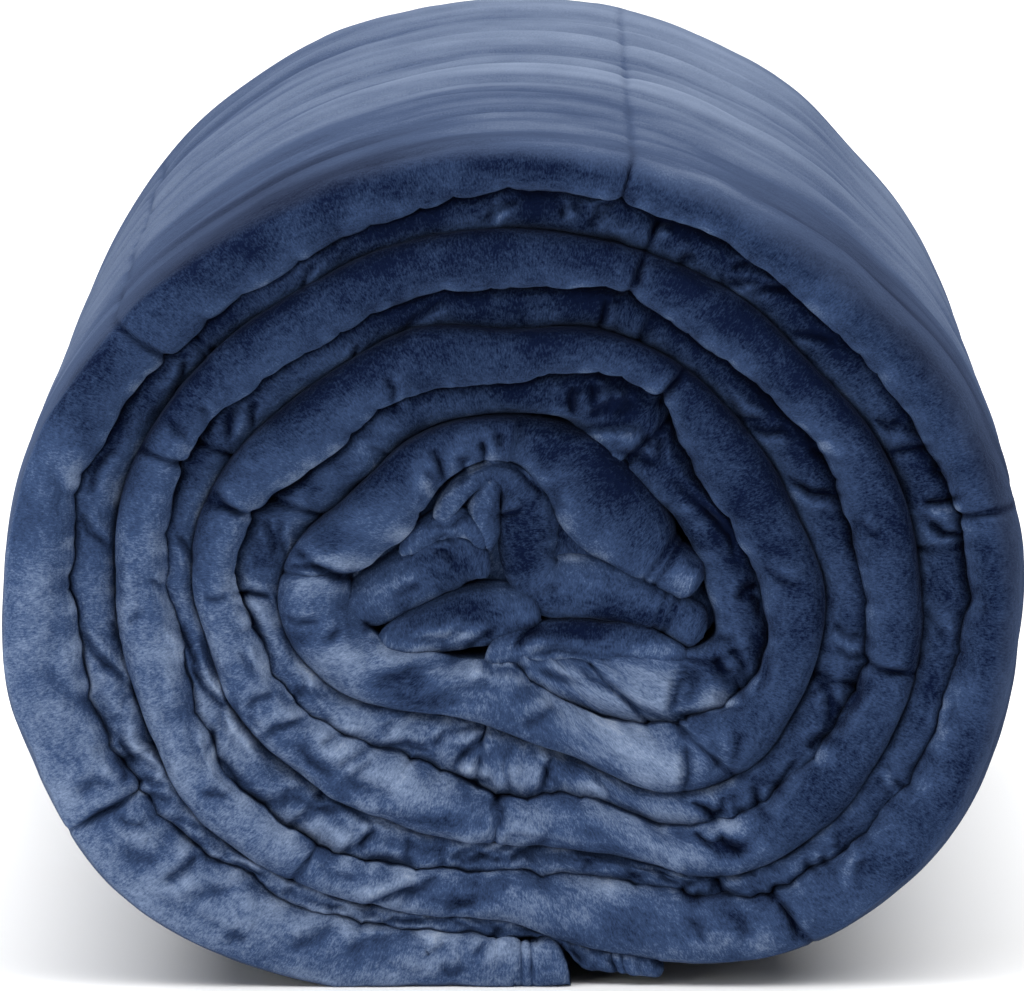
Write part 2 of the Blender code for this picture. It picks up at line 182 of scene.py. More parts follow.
# Creases pressed into the folded edge. A row holds x and y of a crease's start, middle and end in its
# view, where it bends at its middle, and its width, depth and bulge in millimetres. A bulge above 0
# lies on the left of its way.
CREASES = {
    "upper_left": (
        (885, 530, 900, 480, 925, 430, 1.0, 1.3, -0.9), (470, 860, 505, 800, 520, 735, 1.1, 1.8, 1.2),
        (540, 690, 570, 720, 590, 760, 1.0, 1.0, 0.8), (1455, 330, 1490, 270, 1565, 235, 1.2, 1.6, -1.4),
        (655, 1000, 652, 940, 672, 885, 1.1, 2.0, -1.4), (728, 965, 722, 910, 735, 870, 1.1, 2.2, 1.2),
        (1180, 680, 1250, 610, 1335, 540, 1.3, 1.4, -1.3), (1148, 800, 1172, 840, 1168, 895, 1.1, 2.0, 1.3),
        (560, 885, 590, 920, 580, 985, 1.1, 1.4, 1.0), (455, 925, 495, 975, 540, 1005, 1.1, 1.3, -1.0),
        (590, 1150, 640, 1200, 700, 1240, 1.3, 2.2, 1.2), (760, 1240, 785, 1300, 805, 1370, 1.1, 1.8, -1.0),
        (815, 1240, 812, 1300, 835, 1370, 1.0, 1.6, 1.0), (670, 1490, 720, 1475, 790, 1495, 1.2, 1.6, 1.2),
        (840, 1330, 930, 1400, 1060, 1445, 1.4, 2.4, 1.5),
        (1290, 1020, 1320, 1090, 1335, 1130, 1.0, 1.6, -1.2),
        (1385, 1060, 1395, 1110, 1370, 1140, 1.0, 1.6, 1.0),
        (1450, 990, 1455, 1040, 1445, 1075, 1.0, 1.4, 1.0),
        (1040, 745, 1052, 715, 1062, 700, 0.9, 1.2, 0.8), (100, 1080, 130, 1160, 110, 1240, 2.0, 1.0, 0.8),
        (215, 1180, 230, 1080, 300, 1010, 1.3, 1.4, -1.2), (180, 1220, 220, 1290, 290, 1340, 1.3, 1.6, 1.2),
        (480, 1290, 520, 1330, 545, 1390, 1.2, 1.6, -1.2), (310, 1380, 300, 1450, 320, 1500, 1.4, 1.2, 1.0),
    ),
    "lower_left": (
        (140, 430, 200, 500, 290, 590, 2.6, 1.4, 1.0), (255, 885, 330, 835, 400, 850, 2.0, 1.4, 1.2),
        (265, 300, 330, 400, 400, 440, 1.3, 2.0, 1.3), (330, 430, 395, 450, 440, 490, 1.2, 1.8, -1.2),
        (395, 350, 400, 310, 385, 270, 1.2, 1.8, -1.0), (290, 560, 340, 620, 380, 700, 1.2, 1.4, -1.0),
        (400, 690, 440, 740, 475, 790, 1.3, 2.0, 1.4), (380, 745, 420, 790, 440, 850, 1.4, 2.4, -1.4),
        (470, 740, 520, 780, 560, 800, 1.2, 1.6, 1.2), (450, 860, 500, 840, 600, 855, 1.3, 1.6, -1.2),
        (460, 900, 520, 890, 610, 905, 1.2, 1.4, 1.2), (520, 130, 545, 150, 565, 165, 1.0, 1.6, 1.2),
        (440, 290, 470, 260, 500, 240, 1.6, 1.2, 1.0), (560, 640, 600, 620, 650, 600, 2.4, 1.0, 0.8),
        (720, 740, 735, 700, 730, 640, 1.2, 1.8, 1.0), (735, 750, 780, 790, 830, 860, 1.2, 1.8, -1.2),
        (700, 890, 750, 880, 800, 900, 1.6, 1.6, 1.2), (610, 290, 650, 370, 700, 470, 1.2, 1.8, -1.2),
        (650, 430, 705, 510, 790, 590, 1.3, 2.2, 1.4), (700, 320, 720, 400, 760, 480, 1.2, 1.4, 1.0),
        (790, 540, 840, 640, 950, 770, 1.2, 1.6, -1.2), (850, 590, 890, 550, 960, 530, 1.2, 1.6, 1.3),
        (860, 600, 880, 640, 910, 650, 1.2, 1.6, -1.0), (890, 700, 960, 650, 1075, 620, 1.2, 2.0, 1.4),
        (960, 520, 1000, 560, 1060, 600, 1.2, 1.6, -1.2), (700, 190, 740, 200, 800, 190, 1.1, 1.4, 1.0),
        (800, 190, 850, 180, 950, 200, 1.1, 1.8, -1.4), (820, 200, 870, 280, 900, 350, 1.3, 2.0, 1.2),
        (850, 230, 900, 290, 920, 380, 1.2, 1.5, -1.0), (830, 380, 860, 430, 900, 480, 1.3, 1.4, 1.0),
        (1040, 690, 1080, 770, 1180, 830, 3.0, 2.4, -1.2),
        (1180, 830, 1280, 870, 1400, 910, 3.0, 2.2, -1.2), (1110, 720, 1180, 680, 1260, 690, 1.3, 1.4, 1.2),
        (1160, 790, 1230, 760, 1310, 720, 1.3, 1.6, 1.2), (1220, 830, 1270, 790, 1320, 760, 1.2, 1.4, 1.0),
        (850, 880, 900, 920, 940, 930, 2.0, 2.0, 1.2), (940, 930, 1000, 900, 1100, 910, 2.0, 1.6, 1.0),
        (1040, 990, 1110, 940, 1200, 930, 1.4, 1.6, 1.3), (1200, 930, 1260, 960, 1310, 990, 1.2, 1.8, 1.2),
        (1310, 990, 1270, 1040, 1240, 1100, 1.1, 1.8, -1.0),
        (1040, 1020, 1080, 1060, 1110, 1060, 1.2, 1.2, 1.0), (280, 990, 340, 950, 450, 905, 1.1, 1.6, 1.2),
        (400, 960, 440, 990, 520, 1000, 1.2, 1.6, -1.4), (430, 1060, 470, 1100, 560, 1120, 2.4, 1.4, 1.0),
        (560, 1190, 640, 1150, 700, 1080, 1.6, 2.4, 1.6), (600, 990, 640, 1040, 700, 1080, 1.4, 1.6, 1.2),
        (700, 1080, 720, 1115, 780, 1130, 1.2, 2.0, 1.2), (780, 1130, 850, 1140, 900, 1170, 1.2, 1.2, 1.0),
        (620, 1260, 720, 1230, 850, 1210, 2.2, 1.4, 1.2), (850, 1210, 900, 1240, 980, 1240, 1.6, 1.2, -1.0),
        (780, 1400, 820, 1380, 860, 1400, 2.2, 1.6, 1.0),
        (1000, 1420, 1080, 1400, 1200, 1330, 2.4, 1.8, 1.4),
        (1200, 1450, 1280, 1400, 1400, 1390, 2.4, 1.6, 1.4),
        (1100, 1130, 1170, 1170, 1260, 1190, 1.6, 1.2, 1.0),
        (1250, 1290, 1350, 1250, 1460, 1190, 1.5, 1.8, 1.4),
    ),
    "lower_middle": (
        (150, 230, 280, 190, 400, 150, 2.4, 1.6, 1.4), (330, 300, 480, 260, 640, 200, 2.2, 1.4, 1.3),
        (520, 130, 600, 180, 740, 180, 1.2, 1.8, -1.4), (740, 180, 850, 210, 950, 250, 1.2, 1.4, 1.2),
        (740, 120, 830, 100, 950, 130, 1.2, 1.6, 1.4), (910, 160, 950, 210, 1050, 260, 1.3, 2.0, 1.3),
        (1050, 260, 1130, 320, 1240, 375, 1.2, 1.6, 1.2), (690, 400, 780, 350, 850, 300, 1.8, 1.8, 1.4),
        (180, 465, 280, 450, 370, 480, 1.2, 2.0, 1.4), (370, 480, 420, 410, 560, 385, 1.3, 1.8, -1.4),
        (450, 560, 480, 500, 570, 400, 1.4, 2.4, -1.4), (440, 560, 520, 590, 600, 590, 1.2, 2.0, 1.4),
        (600, 640, 640, 650, 670, 640, 1.6, 2.2, 1.2), (770, 640, 790, 560, 820, 480, 1.2, 2.2, 1.6),
        (620, 770, 625, 720, 635, 670, 1.1, 1.8, 1.2), (430, 880, 520, 830, 620, 790, 1.3, 2.0, 1.4),
        (470, 900, 560, 860, 700, 800, 1.3, 2.0, 1.4), (640, 900, 700, 840, 820, 800, 1.4, 2.2, 1.4),
        (620, 790, 700, 790, 820, 800, 1.2, 1.4, 1.2), (120, 870, 180, 870, 300, 890, 1.2, 1.4, 1.2),
        (240, 1060, 300, 1000, 420, 920, 1.6, 2.0, 1.4), (100, 1050, 200, 1010, 330, 960, 1.4, 1.6, 1.4),
        (560, 960, 620, 950, 660, 980, 2.4, 1.8, 1.2), (420, 1080, 470, 1040, 540, 1040, 2.2, 1.8, 1.2),
        (290, 1130, 330, 1180, 300, 1200, 1.6, 1.4, 1.0), (520, 1240, 590, 1170, 640, 1120, 1.4, 1.8, -1.2),
        (330, 1240, 400, 1200, 450, 1180, 2.0, 1.6, 1.2), (400, 1260, 450, 1290, 500, 1260, 2.0, 1.6, 1.2),
        (1200, 910, 1230, 940, 1290, 960, 1.4, 2.0, 1.2),
        (1290, 1010, 1300, 960, 1340, 950, 1.2, 1.8, -1.2),
        (1400, 1010, 1400, 960, 1440, 950, 1.2, 1.8, -1.2),
        (1330, 770, 1400, 850, 1450, 900, 1.4, 1.6, 1.4), (1410, 790, 1450, 830, 1520, 850, 3.0, 2.2, 1.0),
        (1290, 640, 1310, 560, 1300, 440, 1.3, 2.6, 1.2), (1320, 660, 1380, 690, 1400, 740, 1.4, 1.8, 1.2),
        (1440, 640, 1430, 700, 1400, 740, 1.4, 2.0, 1.2), (1400, 430, 1420, 500, 1400, 560, 1.6, 1.6, 1.0),
        (1500, 400, 1490, 480, 1460, 540, 1.6, 1.6, 1.0), (1250, 340, 1270, 240, 1310, 150, 1.2, 2.2, 1.6),
        (1255, 350, 1360, 350, 1530, 310, 0.9, 1.8, 1.0), (1400, 120, 1430, 200, 1480, 250, 1.6, 1.8, -1.2),
        (1340, 170, 1330, 260, 1290, 300, 2.4, 2.0, 1.0), (1480, 190, 1500, 250, 1530, 300, 1.2, 1.6, 1.0),
    ),
    "lower_right": (
        (480, 0, 540, 45, 640, 45, 1.2, 1.8, -1.4), (870, 70, 930, 60, 990, 50, 1.3, 1.8, -1.2),
        (880, 120, 940, 165, 1010, 160, 1.3, 1.8, -1.4), (1030, 380, 1050, 400, 1070, 380, 1.2, 1.6, 1.2),
        (880, 390, 910, 440, 950, 500, 1.6, 1.6, 1.2), (720, 580, 770, 590, 830, 590, 1.0, 1.6, 1.0),
        (590, 440, 650, 480, 710, 470, 1.2, 1.8, -1.4), (600, 500, 650, 540, 710, 540, 1.2, 1.6, 1.2),
        (570, 590, 600, 670, 640, 720, 1.4, 2.0, 1.2), (600, 790, 640, 720, 710, 620, 1.2, 2.0, -1.4),
        (550, 600, 590, 700, 600, 760, 1.4, 1.4, 1.2), (520, 830, 550, 800, 600, 780, 1.6, 2.4, 1.2),
        (390, 1040, 420, 960, 500, 850, 1.4, 2.0, -1.4), (350, 930, 370, 1000, 390, 1050, 1.4, 2.0, 1.4),
        (240, 540, 260, 580, 300, 600, 1.2, 1.6, 1.2), (260, 500, 320, 560, 340, 640, 1.2, 1.6, 1.0),
        (360, 660, 390, 600, 400, 520, 1.1, 1.6, -1.0), (370, 250, 420, 300, 510, 320, 1.4, 1.4, 1.4),
        (300, 370, 330, 330, 380, 310, 1.4, 2.4, 1.0), (340, 350, 370, 370, 370, 420, 1.2, 1.8, 1.0),
        (230, 480, 290, 490, 310, 540, 1.3, 1.6, 1.4), (730, 900, 770, 960, 800, 960, 1.3, 1.6, 1.4),
        (760, 860, 790, 930, 830, 940, 1.2, 1.6, -1.2), (560, 1150, 590, 1200, 600, 1220, 1.4, 1.8, 1.2),
        (500, 1160, 540, 1200, 590, 1240, 1.6, 1.6, 1.4), (430, 1290, 470, 1350, 490, 1420, 1.3, 2.0, 1.4),
        (650, 1120, 620, 1180, 600, 1210, 1.2, 1.6, 1.0), (300, 1330, 330, 1400, 310, 1440, 1.8, 1.4, 1.2),
        (150, 1350, 190, 1380, 200, 1430, 1.8, 1.4, 1.2), (130, 1250, 150, 1300, 200, 1270, 1.8, 1.8, 1.0),
        (240, 1210, 260, 1260, 300, 1280, 2.0, 2.0, 1.0), (160, 1080, 200, 1110, 240, 1120, 1.2, 1.6, 1.2),
        (240, 1090, 280, 1130, 330, 1150, 2.2, 2.0, 1.0), (200, 1000, 230, 1030, 260, 1010, 1.8, 2.0, 1.2),
        (290, 960, 300, 1010, 340, 1030, 1.6, 1.8, 1.2), (920, 780, 950, 740, 970, 680, 1.6, 1.2, 1.2),
        (660, 1220, 680, 1180, 700, 1160, 1.8, 1.2, 1.0),
    ),
    "upper_right": (
        (5, 330, 20, 290, 30, 270, 1.1, 1.6, -1.4), (110, 310, 140, 280, 190, 270, 1.2, 1.6, 1.4),
        (100, 360, 120, 330, 160, 290, 1.2, 2.0, -1.2), (160, 400, 200, 400, 230, 410, 1.2, 1.8, 1.4),
        (310, 380, 330, 350, 370, 330, 1.2, 2.2, -1.4), (400, 490, 430, 460, 460, 450, 1.6, 2.4, 1.2),
        (580, 500, 610, 480, 650, 470, 1.2, 1.8, 1.2), (560, 550, 640, 540, 700, 535, 1.2, 2.2, -1.6),
        (620, 590, 700, 560, 790, 560, 1.2, 2.4, 1.6), (770, 720, 840, 715, 940, 735, 1.3, 1.6, -1.4),
        (1060, 1000, 1110, 1030, 1170, 1000, 1.2, 1.8, -1.4),
        (1110, 1120, 1180, 1100, 1270, 1095, 1.2, 2.0, 1.4),
        (1240, 1290, 1300, 1290, 1360, 1270, 1.2, 2.0, -1.4),
        (1260, 1340, 1310, 1390, 1370, 1390, 1.2, 1.6, 1.2),
        (1280, 1140, 1275, 1180, 1310, 1200, 1.2, 2.0, 1.0), (270, 560, 265, 510, 290, 460, 1.1, 2.0, -1.4),
        (135, 710, 150, 650, 165, 590, 1.0, 2.2, -1.2), (570, 930, 620, 1000, 710, 1010, 1.2, 1.8, 1.6),
        (640, 1030, 700, 1050, 790, 1035, 1.2, 2.2, -1.4), (850, 1090, 880, 1120, 950, 1160, 1.3, 2.2, 1.4),
        (760, 1200, 850, 1250, 955, 1255, 1.2, 2.2, -1.4),
        (990, 1320, 1000, 1400, 990, 1450, 1.4, 1.4, 1.0),
        (1010, 1340, 1050, 1390, 1090, 1400, 1.2, 1.6, 1.2), (325, 960, 370, 900, 420, 850, 1.2, 2.2, 1.4),
        (45, 1000, 40, 930, 60, 880, 1.2, 2.4, -1.4), (90, 1000, 150, 960, 240, 930, 1.2, 1.8, 1.2),
        (100, 880, 120, 900, 110, 960, 1.2, 1.6, 1.2), (180, 990, 220, 970, 250, 930, 1.3, 1.8, 1.4),
        (60, 1040, 170, 1030, 300, 1030, 1.2, 1.8, -1.6), (180, 1110, 260, 1130, 350, 1160, 1.3, 2.2, 1.6),
        (240, 1120, 290, 1080, 300, 1040, 1.3, 1.8, 1.2), (350, 1050, 340, 1110, 350, 1160, 1.2, 1.8, 1.2),
        (480, 1290, 580, 1400, 600, 1487, 1.3, 1.8, 1.0), (350, 1170, 470, 1290, 570, 1380, 1.2, 1.2, 1.0),
    ),
    "core": (
        (575, 305, 572, 255, 545, 215, 1.4, 2.8, 1.4), (70, 545, 190, 545, 290, 600, 1.2, 2.2, -1.2),
        (725, 130, 735, 160, 730, 200, 1.1, 2.2, 1.6), (775, 150, 780, 120, 790, 100, 1.4, 1.8, 1.0),
        (575, 180, 590, 230, 610, 270, 1.1, 1.6, -1.4), (665, 210, 660, 190, 690, 180, 1.1, 2.0, 1.0),
        (830, 205, 880, 260, 940, 310, 1.3, 1.4, 1.4), (960, 380, 970, 330, 960, 270, 1.6, 1.2, -1.0),
        (560, 400, 620, 410, 700, 350, 1.1, 1.6, 1.4), (440, 640, 480, 610, 530, 600, 1.2, 1.4, 1.2),
        (340, 760, 350, 740, 330, 720, 1.0, 1.6, 1.0), (220, 790, 240, 760, 260, 750, 1.3, 2.0, 1.0),
        (490, 780, 600, 780, 700, 735, 1.2, 1.2, 1.4), (660, 820, 720, 780, 780, 740, 1.4, 2.6, 1.4),
        (830, 820, 870, 770, 930, 730, 1.4, 2.6, -1.4), (60, 700, 120, 720, 200, 715, 1.1, 1.6, 1.2),
        (870, 630, 930, 620, 990, 600, 1.2, 1.2, 1.2), (770, 370, 800, 370, 870, 350, 1.1, 1.6, 1.2),
        (560, 460, 600, 440, 640, 460, 1.1, 1.6, 1.2), (560, 500, 600, 490, 640, 530, 1.1, 1.6, -1.2),
    ),
}
# Patches of tone, pale above 0 and dark below: partly the nap brushed pale or dark, partly painted highlights
# on ridges and puckers and painted shade in gaps and under folds. A row holds x and y of the middle, half the
# width, half the height and the tone.
NAP_AND_LIGHT_PATCHES = {
    "core": (
        (450, 930, 120, 60, -0.35), (1260, 930, 110, 80, 0.18), (1000, 760, 130, 40, -0.30),
        (230, 870, 90, 60, 0.12), (870, 960, 50, 30, -0.30), (1180, 700, 120, 60, -0.15),
        (400, 400, 120, 90, 0.08), (1130, 560, 80, 60, 0.05), (870, 450, 90, 130, -0.34),
        (330, 620, 70, 60, 0.05), (640, 560, 90, 60, -0.12), (1480, 880, 40, 70, -0.25),
        (1500, 990, 60, 30, 0.20), (150, 620, 70, 50, 0.15), (120, 770, 60, 30, -0.25),
        (1130, 330, 240, 200, -0.22), (700, 690, 170, 40, -0.22), (1130, 730, 190, 50, -0.28),
        (260, 720, 90, 70, -0.18), (600, 690, 200, 50, -0.18), (1290, 818, 100, 26, 0.42),
        (120, 340, 28, 50, 0.28), (200, 240, 44, 34, 0.26), (300, 150, 50, 34, 0.26),
        (400, 80, 50, 30, 0.22), (520, 240, 36, 60, 0.18), (270, 520, 60, 36, 0.16),
        (1390, 350, 44, 20, 0.28), (1450, 405, 40, 26, 0.24), (1530, 480, 30, 30, 0.20),
        (1190, 185, 44, 16, 0.28), (1190, 92, 56, 26, 0.20), (1030, 512, 50, 20, 0.24),
        (900, 622, 60, 14, 0.24), (785, 600, 14, 50, 0.18), (1385, 580, 54, 50, 0.12),
        (1370, 745, 60, 50, 0.12), (620, 768, 120, 16, 0.26), (930, 812, 90, 14, 0.22),
        (560, 880, 50, 22, 0.22), (700, 965, 90, 16, 0.14), (150, 520, 50, 14, 0.16),
    ),
    "whole": (
        (530, 632, 40, 14, -0.22), (400, 628, 40, 16, -0.22), (590, 480, 50, 60, -0.10),
        (362, 405, 60, 22, 0.10), (262, 568, 18, 20, -0.20), (205, 575, 16, 22, -0.12),
        (480, 748, 40, 14, -0.15), (572, 772, 30, 12, -0.15), (330, 818, 30, 14, -0.15),
        (165, 850, 26, 16, -0.18), (66, 770, 34, 20, -0.18), (705, 262, 26, 14, -0.15),
        (560, 405, 24, 10, -0.12), (545, 820, 40, 14, -0.12), (455, 822, 24, 12, -0.12),
        (375, 878, 24, 10, -0.12), (810, 905, 20, 12, -0.12), (280, 715, 24, 14, -0.12),
        (735, 680, 24, 30, 0.20), (690, 760, 40, 24, 0.22), (430, 650, 30, 10, 0.10),
        (285, 665, 20, 16, 0.10), (220, 510, 14, 18, 0.12), (665, 400, 16, 16, 0.12),
        (340, 455, 40, 16, 0.10), (940, 770, 20, 30, 0.10), (50, 700, 24, 24, 0.08),
        (240, 430, 20, 14, 0.10), (850, 510, 14, 30, 0.08), (680, 820, 50, 10, 0.10),
        (622, 645, 30, 20, -0.16), (650, 540, 28, 28, -0.12), (465, 555, 24, 20, -0.14),
        (335, 640, 30, 16, -0.15), (400, 705, 30, 20, -0.14), (320, 540, 22, 16, -0.12),
        (135, 530, 10, 22, -0.12), (160, 610, 14, 26, -0.12), (85, 430, 20, 26, -0.10),
        (895, 630, 16, 18, -0.12), (850, 780, 20, 30, -0.10), (890, 860, 30, 20, -0.12),
        (640, 905, 34, 24, -0.10), (420, 190, 60, 14, -0.08), (215, 790, 20, 24, -0.12),
        (780, 540, 24, 22, -0.10), (645, 735, 50, 34, 0.14), (560, 375, 40, 10, 0.10),
        (915, 330, 16, 26, 0.10), (60, 700, 24, 30, 0.10), (290, 735, 26, 14, -0.16),
        (375, 800, 16, 18, -0.16), (560, 830, 36, 9, -0.16), (440, 682, 24, 10, -0.14),
        (312, 880, 18, 14, -0.14), (300, 605, 20, 18, -0.12), (66, 610, 12, 20, -0.14),
        (205, 585, 14, 18, -0.10), (470, 555, 30, 16, -0.12), (540, 440, 40, 20, -0.12),
        (740, 510, 40, 24, -0.10), (780, 380, 40, 20, -0.08), (830, 300, 16, 12, -0.12),
        (230, 380, 40, 20, -0.10), (265, 480, 36, 14, -0.10), (400, 190, 60, 16, -0.10),
        (555, 255, 36, 14, -0.10), (985, 690, 10, 24, -0.14), (920, 820, 20, 20, -0.12),
        (840, 890, 24, 14, -0.14), (610, 940, 36, 14, -0.12), (500, 970, 60, 10, -0.12),
        (335, 460, 16, 14, 0.14), (680, 770, 50, 14, 0.12), (670, 820, 40, 12, 0.10),
        (690, 705, 40, 14, 0.14), (665, 410, 14, 20, 0.12), (600, 385, 20, 10, 0.12),
        (640, 445, 30, 20, 0.08), (900, 330, 24, 24, 0.14), (850, 480, 12, 40, 0.10),
        (250, 430, 20, 12, 0.12), (310, 665, 20, 20, 0.12), (225, 265, 30, 14, 0.12),
        (370, 285, 24, 14, 0.10), (450, 305, 50, 10, 0.10), (950, 520, 14, 30, 0.10),
        (880, 650, 10, 30, 0.10), (760, 600, 12, 30, 0.10), (610, 880, 60, 12, 0.10),
        (520, 860, 30, 14, 0.10), (440, 930, 40, 10, 0.08), (720, 940, 30, 10, 0.08),
        (300, 735, 24, 16, -0.10), (440, 820, 30, 12, -0.10), (775, 655, 30, 30, -0.08),
        (985, 545, 14, 14, -0.14), (550, 600, 60, 16, -0.10), (480, 585, 60, 20, -0.14),
        (560, 605, 50, 10, -0.14), (640, 560, 30, 30, -0.10), (440, 560, 36, 16, -0.10),
        (335, 535, 18, 20, -0.12), (545, 460, 14, 18, -0.14), (95, 440, 18, 40, -0.12),
        (740, 320, 30, 20, -0.12), (790, 380, 30, 30, -0.12), (860, 470, 16, 40, -0.10),
        (700, 280, 24, 12, -0.10), (270, 785, 16, 20, -0.14), (205, 785, 16, 16, -0.12),
        (100, 815, 30, 12, -0.12), (170, 860, 16, 12, -0.10), (240, 912, 30, 8, -0.10),
        (320, 965, 26, 10, -0.12), (420, 950, 40, 8, -0.10), (68, 600, 10, 30, -0.12),
        (425, 700, 30, 20, -0.12), (600, 738, 26, 10, -0.10), (500, 760, 40, 10, -0.08),
        (455, 190, 24, 12, -0.10), (595, 185, 24, 10, -0.08), (265, 410, 30, 20, 0.08),
        (590, 430, 30, 14, 0.12), (905, 450, 14, 14, 0.12), (770, 430, 14, 20, 0.10),
        (700, 690, 34, 20, 0.12), (690, 830, 40, 12, 0.10), (620, 865, 40, 10, 0.10),
        (650, 780, 34, 10, 0.10),
    ),
    "lower_left": (
        (1100, 905, 120, 60, -0.15), (923, 40, 50, 70, -0.25),
    ),
    "lower_right": (
        (370, 1340, 200, 60, -0.20), (369, 92, 120, 120, -0.12), (940, 760, 36, 90, 0.24),
        (985, 630, 18, 40, 0.20), (1040, 392, 22, 26, 0.36), (780, 900, 26, 60, 0.26),
        (900, 430, 26, 50, 0.22), (570, 850, 50, 30, 0.22), (510, 1200, 60, 40, 0.22),
        (640, 1220, 26, 40, 0.20), (280, 500, 40, 20, 0.22), (410, 330, 30, 36, 0.22),
        (470, 302, 40, 14, 0.16), (650, 466, 50, 14, 0.26), (650, 545, 50, 14, 0.20),
        (935, 84, 50, 16, 0.26), (970, 180, 50, 16, 0.22), (1110, 110, 44, 13, 0.26),
        (120, 480, 60, 40, 0.12), (160, 320, 50, 40, 0.12), (240, 670, 70, 34, 0.22),
        (450, 900, 26, 60, 0.16), (870, 930, 40, 40, 0.20), (720, 1070, 50, 30, 0.16),
        (565, 690, 24, 50, 0.24), (250, 850, 26, 60, 0.18), (400, 1340, 50, 60, 0.14),
        (370, 1120, 26, 40, 0.16), (200, 230, 60, 20, 0.20), (180, 580, 40, 50, -0.12),
        (300, 1120, 50, 30, -0.16), (200, 1250, 50, 26, -0.16), (350, 1240, 50, 26, -0.16),
        (330, 330, 26, 40, -0.18), (650, 640, 40, 60, -0.12), (850, 560, 26, 90, -0.10),
        (1090, 560, 40, 120, -0.08),
    ),
    "top": (
        (935, 645, 26, 44, 0.30), (1150, 655, 16, 50, 0.34), (1255, 660, 26, 40, 0.24),
        (1440, 712, 22, 44, 0.30), (1040, 650, 40, 50, -0.14), (1200, 690, 24, 40, -0.16),
        (1340, 640, 40, 40, -0.14), (700, 690, 60, 30, -0.10), (500, 690, 60, 26, 0.12),
        (640, 640, 60, 22, 0.10), (800, 590, 60, 20, 0.10), (1100, 580, 120, 18, 0.10),
    ),
    "upper_left": (
        (204, 909, 110, 130, -0.20), (547, 1082, 40, 60, -0.20),
    ),
    "lower_middle": (
        (1080, 450, 190, 100, 0.25), (200, 600, 130, 70, 0.28), (600, 470, 80, 40, -0.20),
        (850, 560, 90, 50, -0.22), (300, 820, 160, 40, -0.25), (900, 860, 200, 40, -0.22),
        (850, 720, 220, 40, 0.18), (480, 990, 110, 50, -0.20), (900, 1010, 250, 60, 0.10),
        (1050, 600, 140, 30, 0.15), (60, 100, 80, 60, 0.2), (1460, 820, 60, 40, -0.25),
        (60, 640, 60, 60, -0.22), (1330, 990, 60, 30, -0.18), (700, 570, 60, 60, 0.15),
        (980, 260, 260, 120, 0.20), (1160, 640, 130, 90, 0.15), (1290, 860, 110, 60, 0.18),
        (560, 250, 160, 60, 0.12), (1450, 1120, 230, 60, -0.20), (1000, 1160, 200, 60, -0.20),
        (1160, 1090, 90, 90, -0.05), (1030, 380, 260, 200, 0.14), (470, 750, 140, 50, -0.20),
    ),
}

# Fall of the sight line over the depth of the roll's end.
EYE_SLOPE = 0.091
# The roll's end is this many times as high as it looks from there.
FORESHORTENING = 1.004
# Radius at which the hollow of the roll's end runs out, in millimetres.
DISH_REACH = 135.0
# Stands for no seam, hem or crease near, in millimetres.
NOWHERE_NEAR = 1000.0
# Angles at which each half starts and ends, at which the outside runs in under the start hem, and by
# which the inner half's seams lag behind the outer one's.
OUTER_ENDS = (-6.5, 1258)
INNER_ENDS = (-17, 1076)
OUTSIDE_END = 343
INNER_SEAM_LAG = 5.0
# Least thickness of the cloth between a fold line and the floor, in millimetres.
CLOTH_BELOW = 1.5
# How far the arch at the outer half's end and the inner half sit back, in millimetres.
ARCH_SET_BACK = 6.0
INNER_SET_BACK = 5.0
# How crumpled the arch and the folds in the middle are.
ARCH_CRUMPLE = 0.3
CORE_CRUMPLE = 0.7
# A hem is thinner by this share, and has two rows of stitches this far apart, in millimetres.
HEM_THINNING = 0.05
STITCH_GAP = 2.6
# Length over which a strip's end rounds off, in millimetres.
TIP = 3.0

# The mesh: distance between stations along the cloth in millimetres, points round the front rim, how
# square that rim is, and cuts along the outside of the roll. Curves are measured in FINE_STEPS.
FINE_STEPS = 16000
RIBBON_FINE_STEPS = 900
STATION_MM = 0.65
RIBBON_STATION_MM = 0.8
RIM_POINTS = 35
RIM_POWER = 2 / 2.4
OUTSIDE_CUTS = 96
# The far end's rim is a coarser copy of the front one. Its last point starts the outer face, which
# ends behind the front rim at FACE_DEPTH. The hidden face runs from there to the far end.
FAR_RIM_POINTS = (0, 4, 8, 13, 17, 21, 26, 30, 34)
FAR_RIM_DEPTH = 11.0
OUTER_FACE_ROW = len(FAR_RIM_POINTS)
FACE_DEPTH = 44.0
HIDDEN_DEPTHS = (46.0, 60.0, 300.0)
# Stations of the outer half that lie before straight down.
HEM_STATIONS = 30

# Layers of uneven relief, in millimetres: height, size of the lumps along and across the cloth, and the
# number of the noise. Rims are lumpy, more so where they are crumpled, and the outside is wrinkled.
RIM_LUMPS = ((0.9, 28, 16, 2), (0.35, 12, 9, 3))
CRUMPLED_LUMPS = ((0.7, 11, 8, 4), (0.18, 4, 3.5, 5))
WRINKLES = ((1.6, 190, 34, 11), (0.5, 110, 13, 12))
# The same for the long soft bands in the tone of the outside.
NAP_BANDS = ((0.10, 160, 26, 17), (0.06, 90, 9, 18))
# Dimples at a seam, as pairs of a height and a width in millimetres: how far it draws back the folded
# edge, which share of the thickness it takes up in a rim, and its shape on the outside, across the roll
# and along it, in times the seam depth.
EDGE_SEAM = ((2.6, 0.8), (0.9, 3.5))
RIM_SEAM = ((0.08, 1.0), (0.07, 3.5))
CROSS_SEAM = ((1.3, 3.5), (0.9, 16.0))
LONG_SEAM = ((0.5, 1.4), (0.25, 6.0))
# Cloth is gathered beside a seam up to this height and over this reach, in millimetres.
GATHER_HEIGHT = 0.35
GATHER_REACH = 12.0

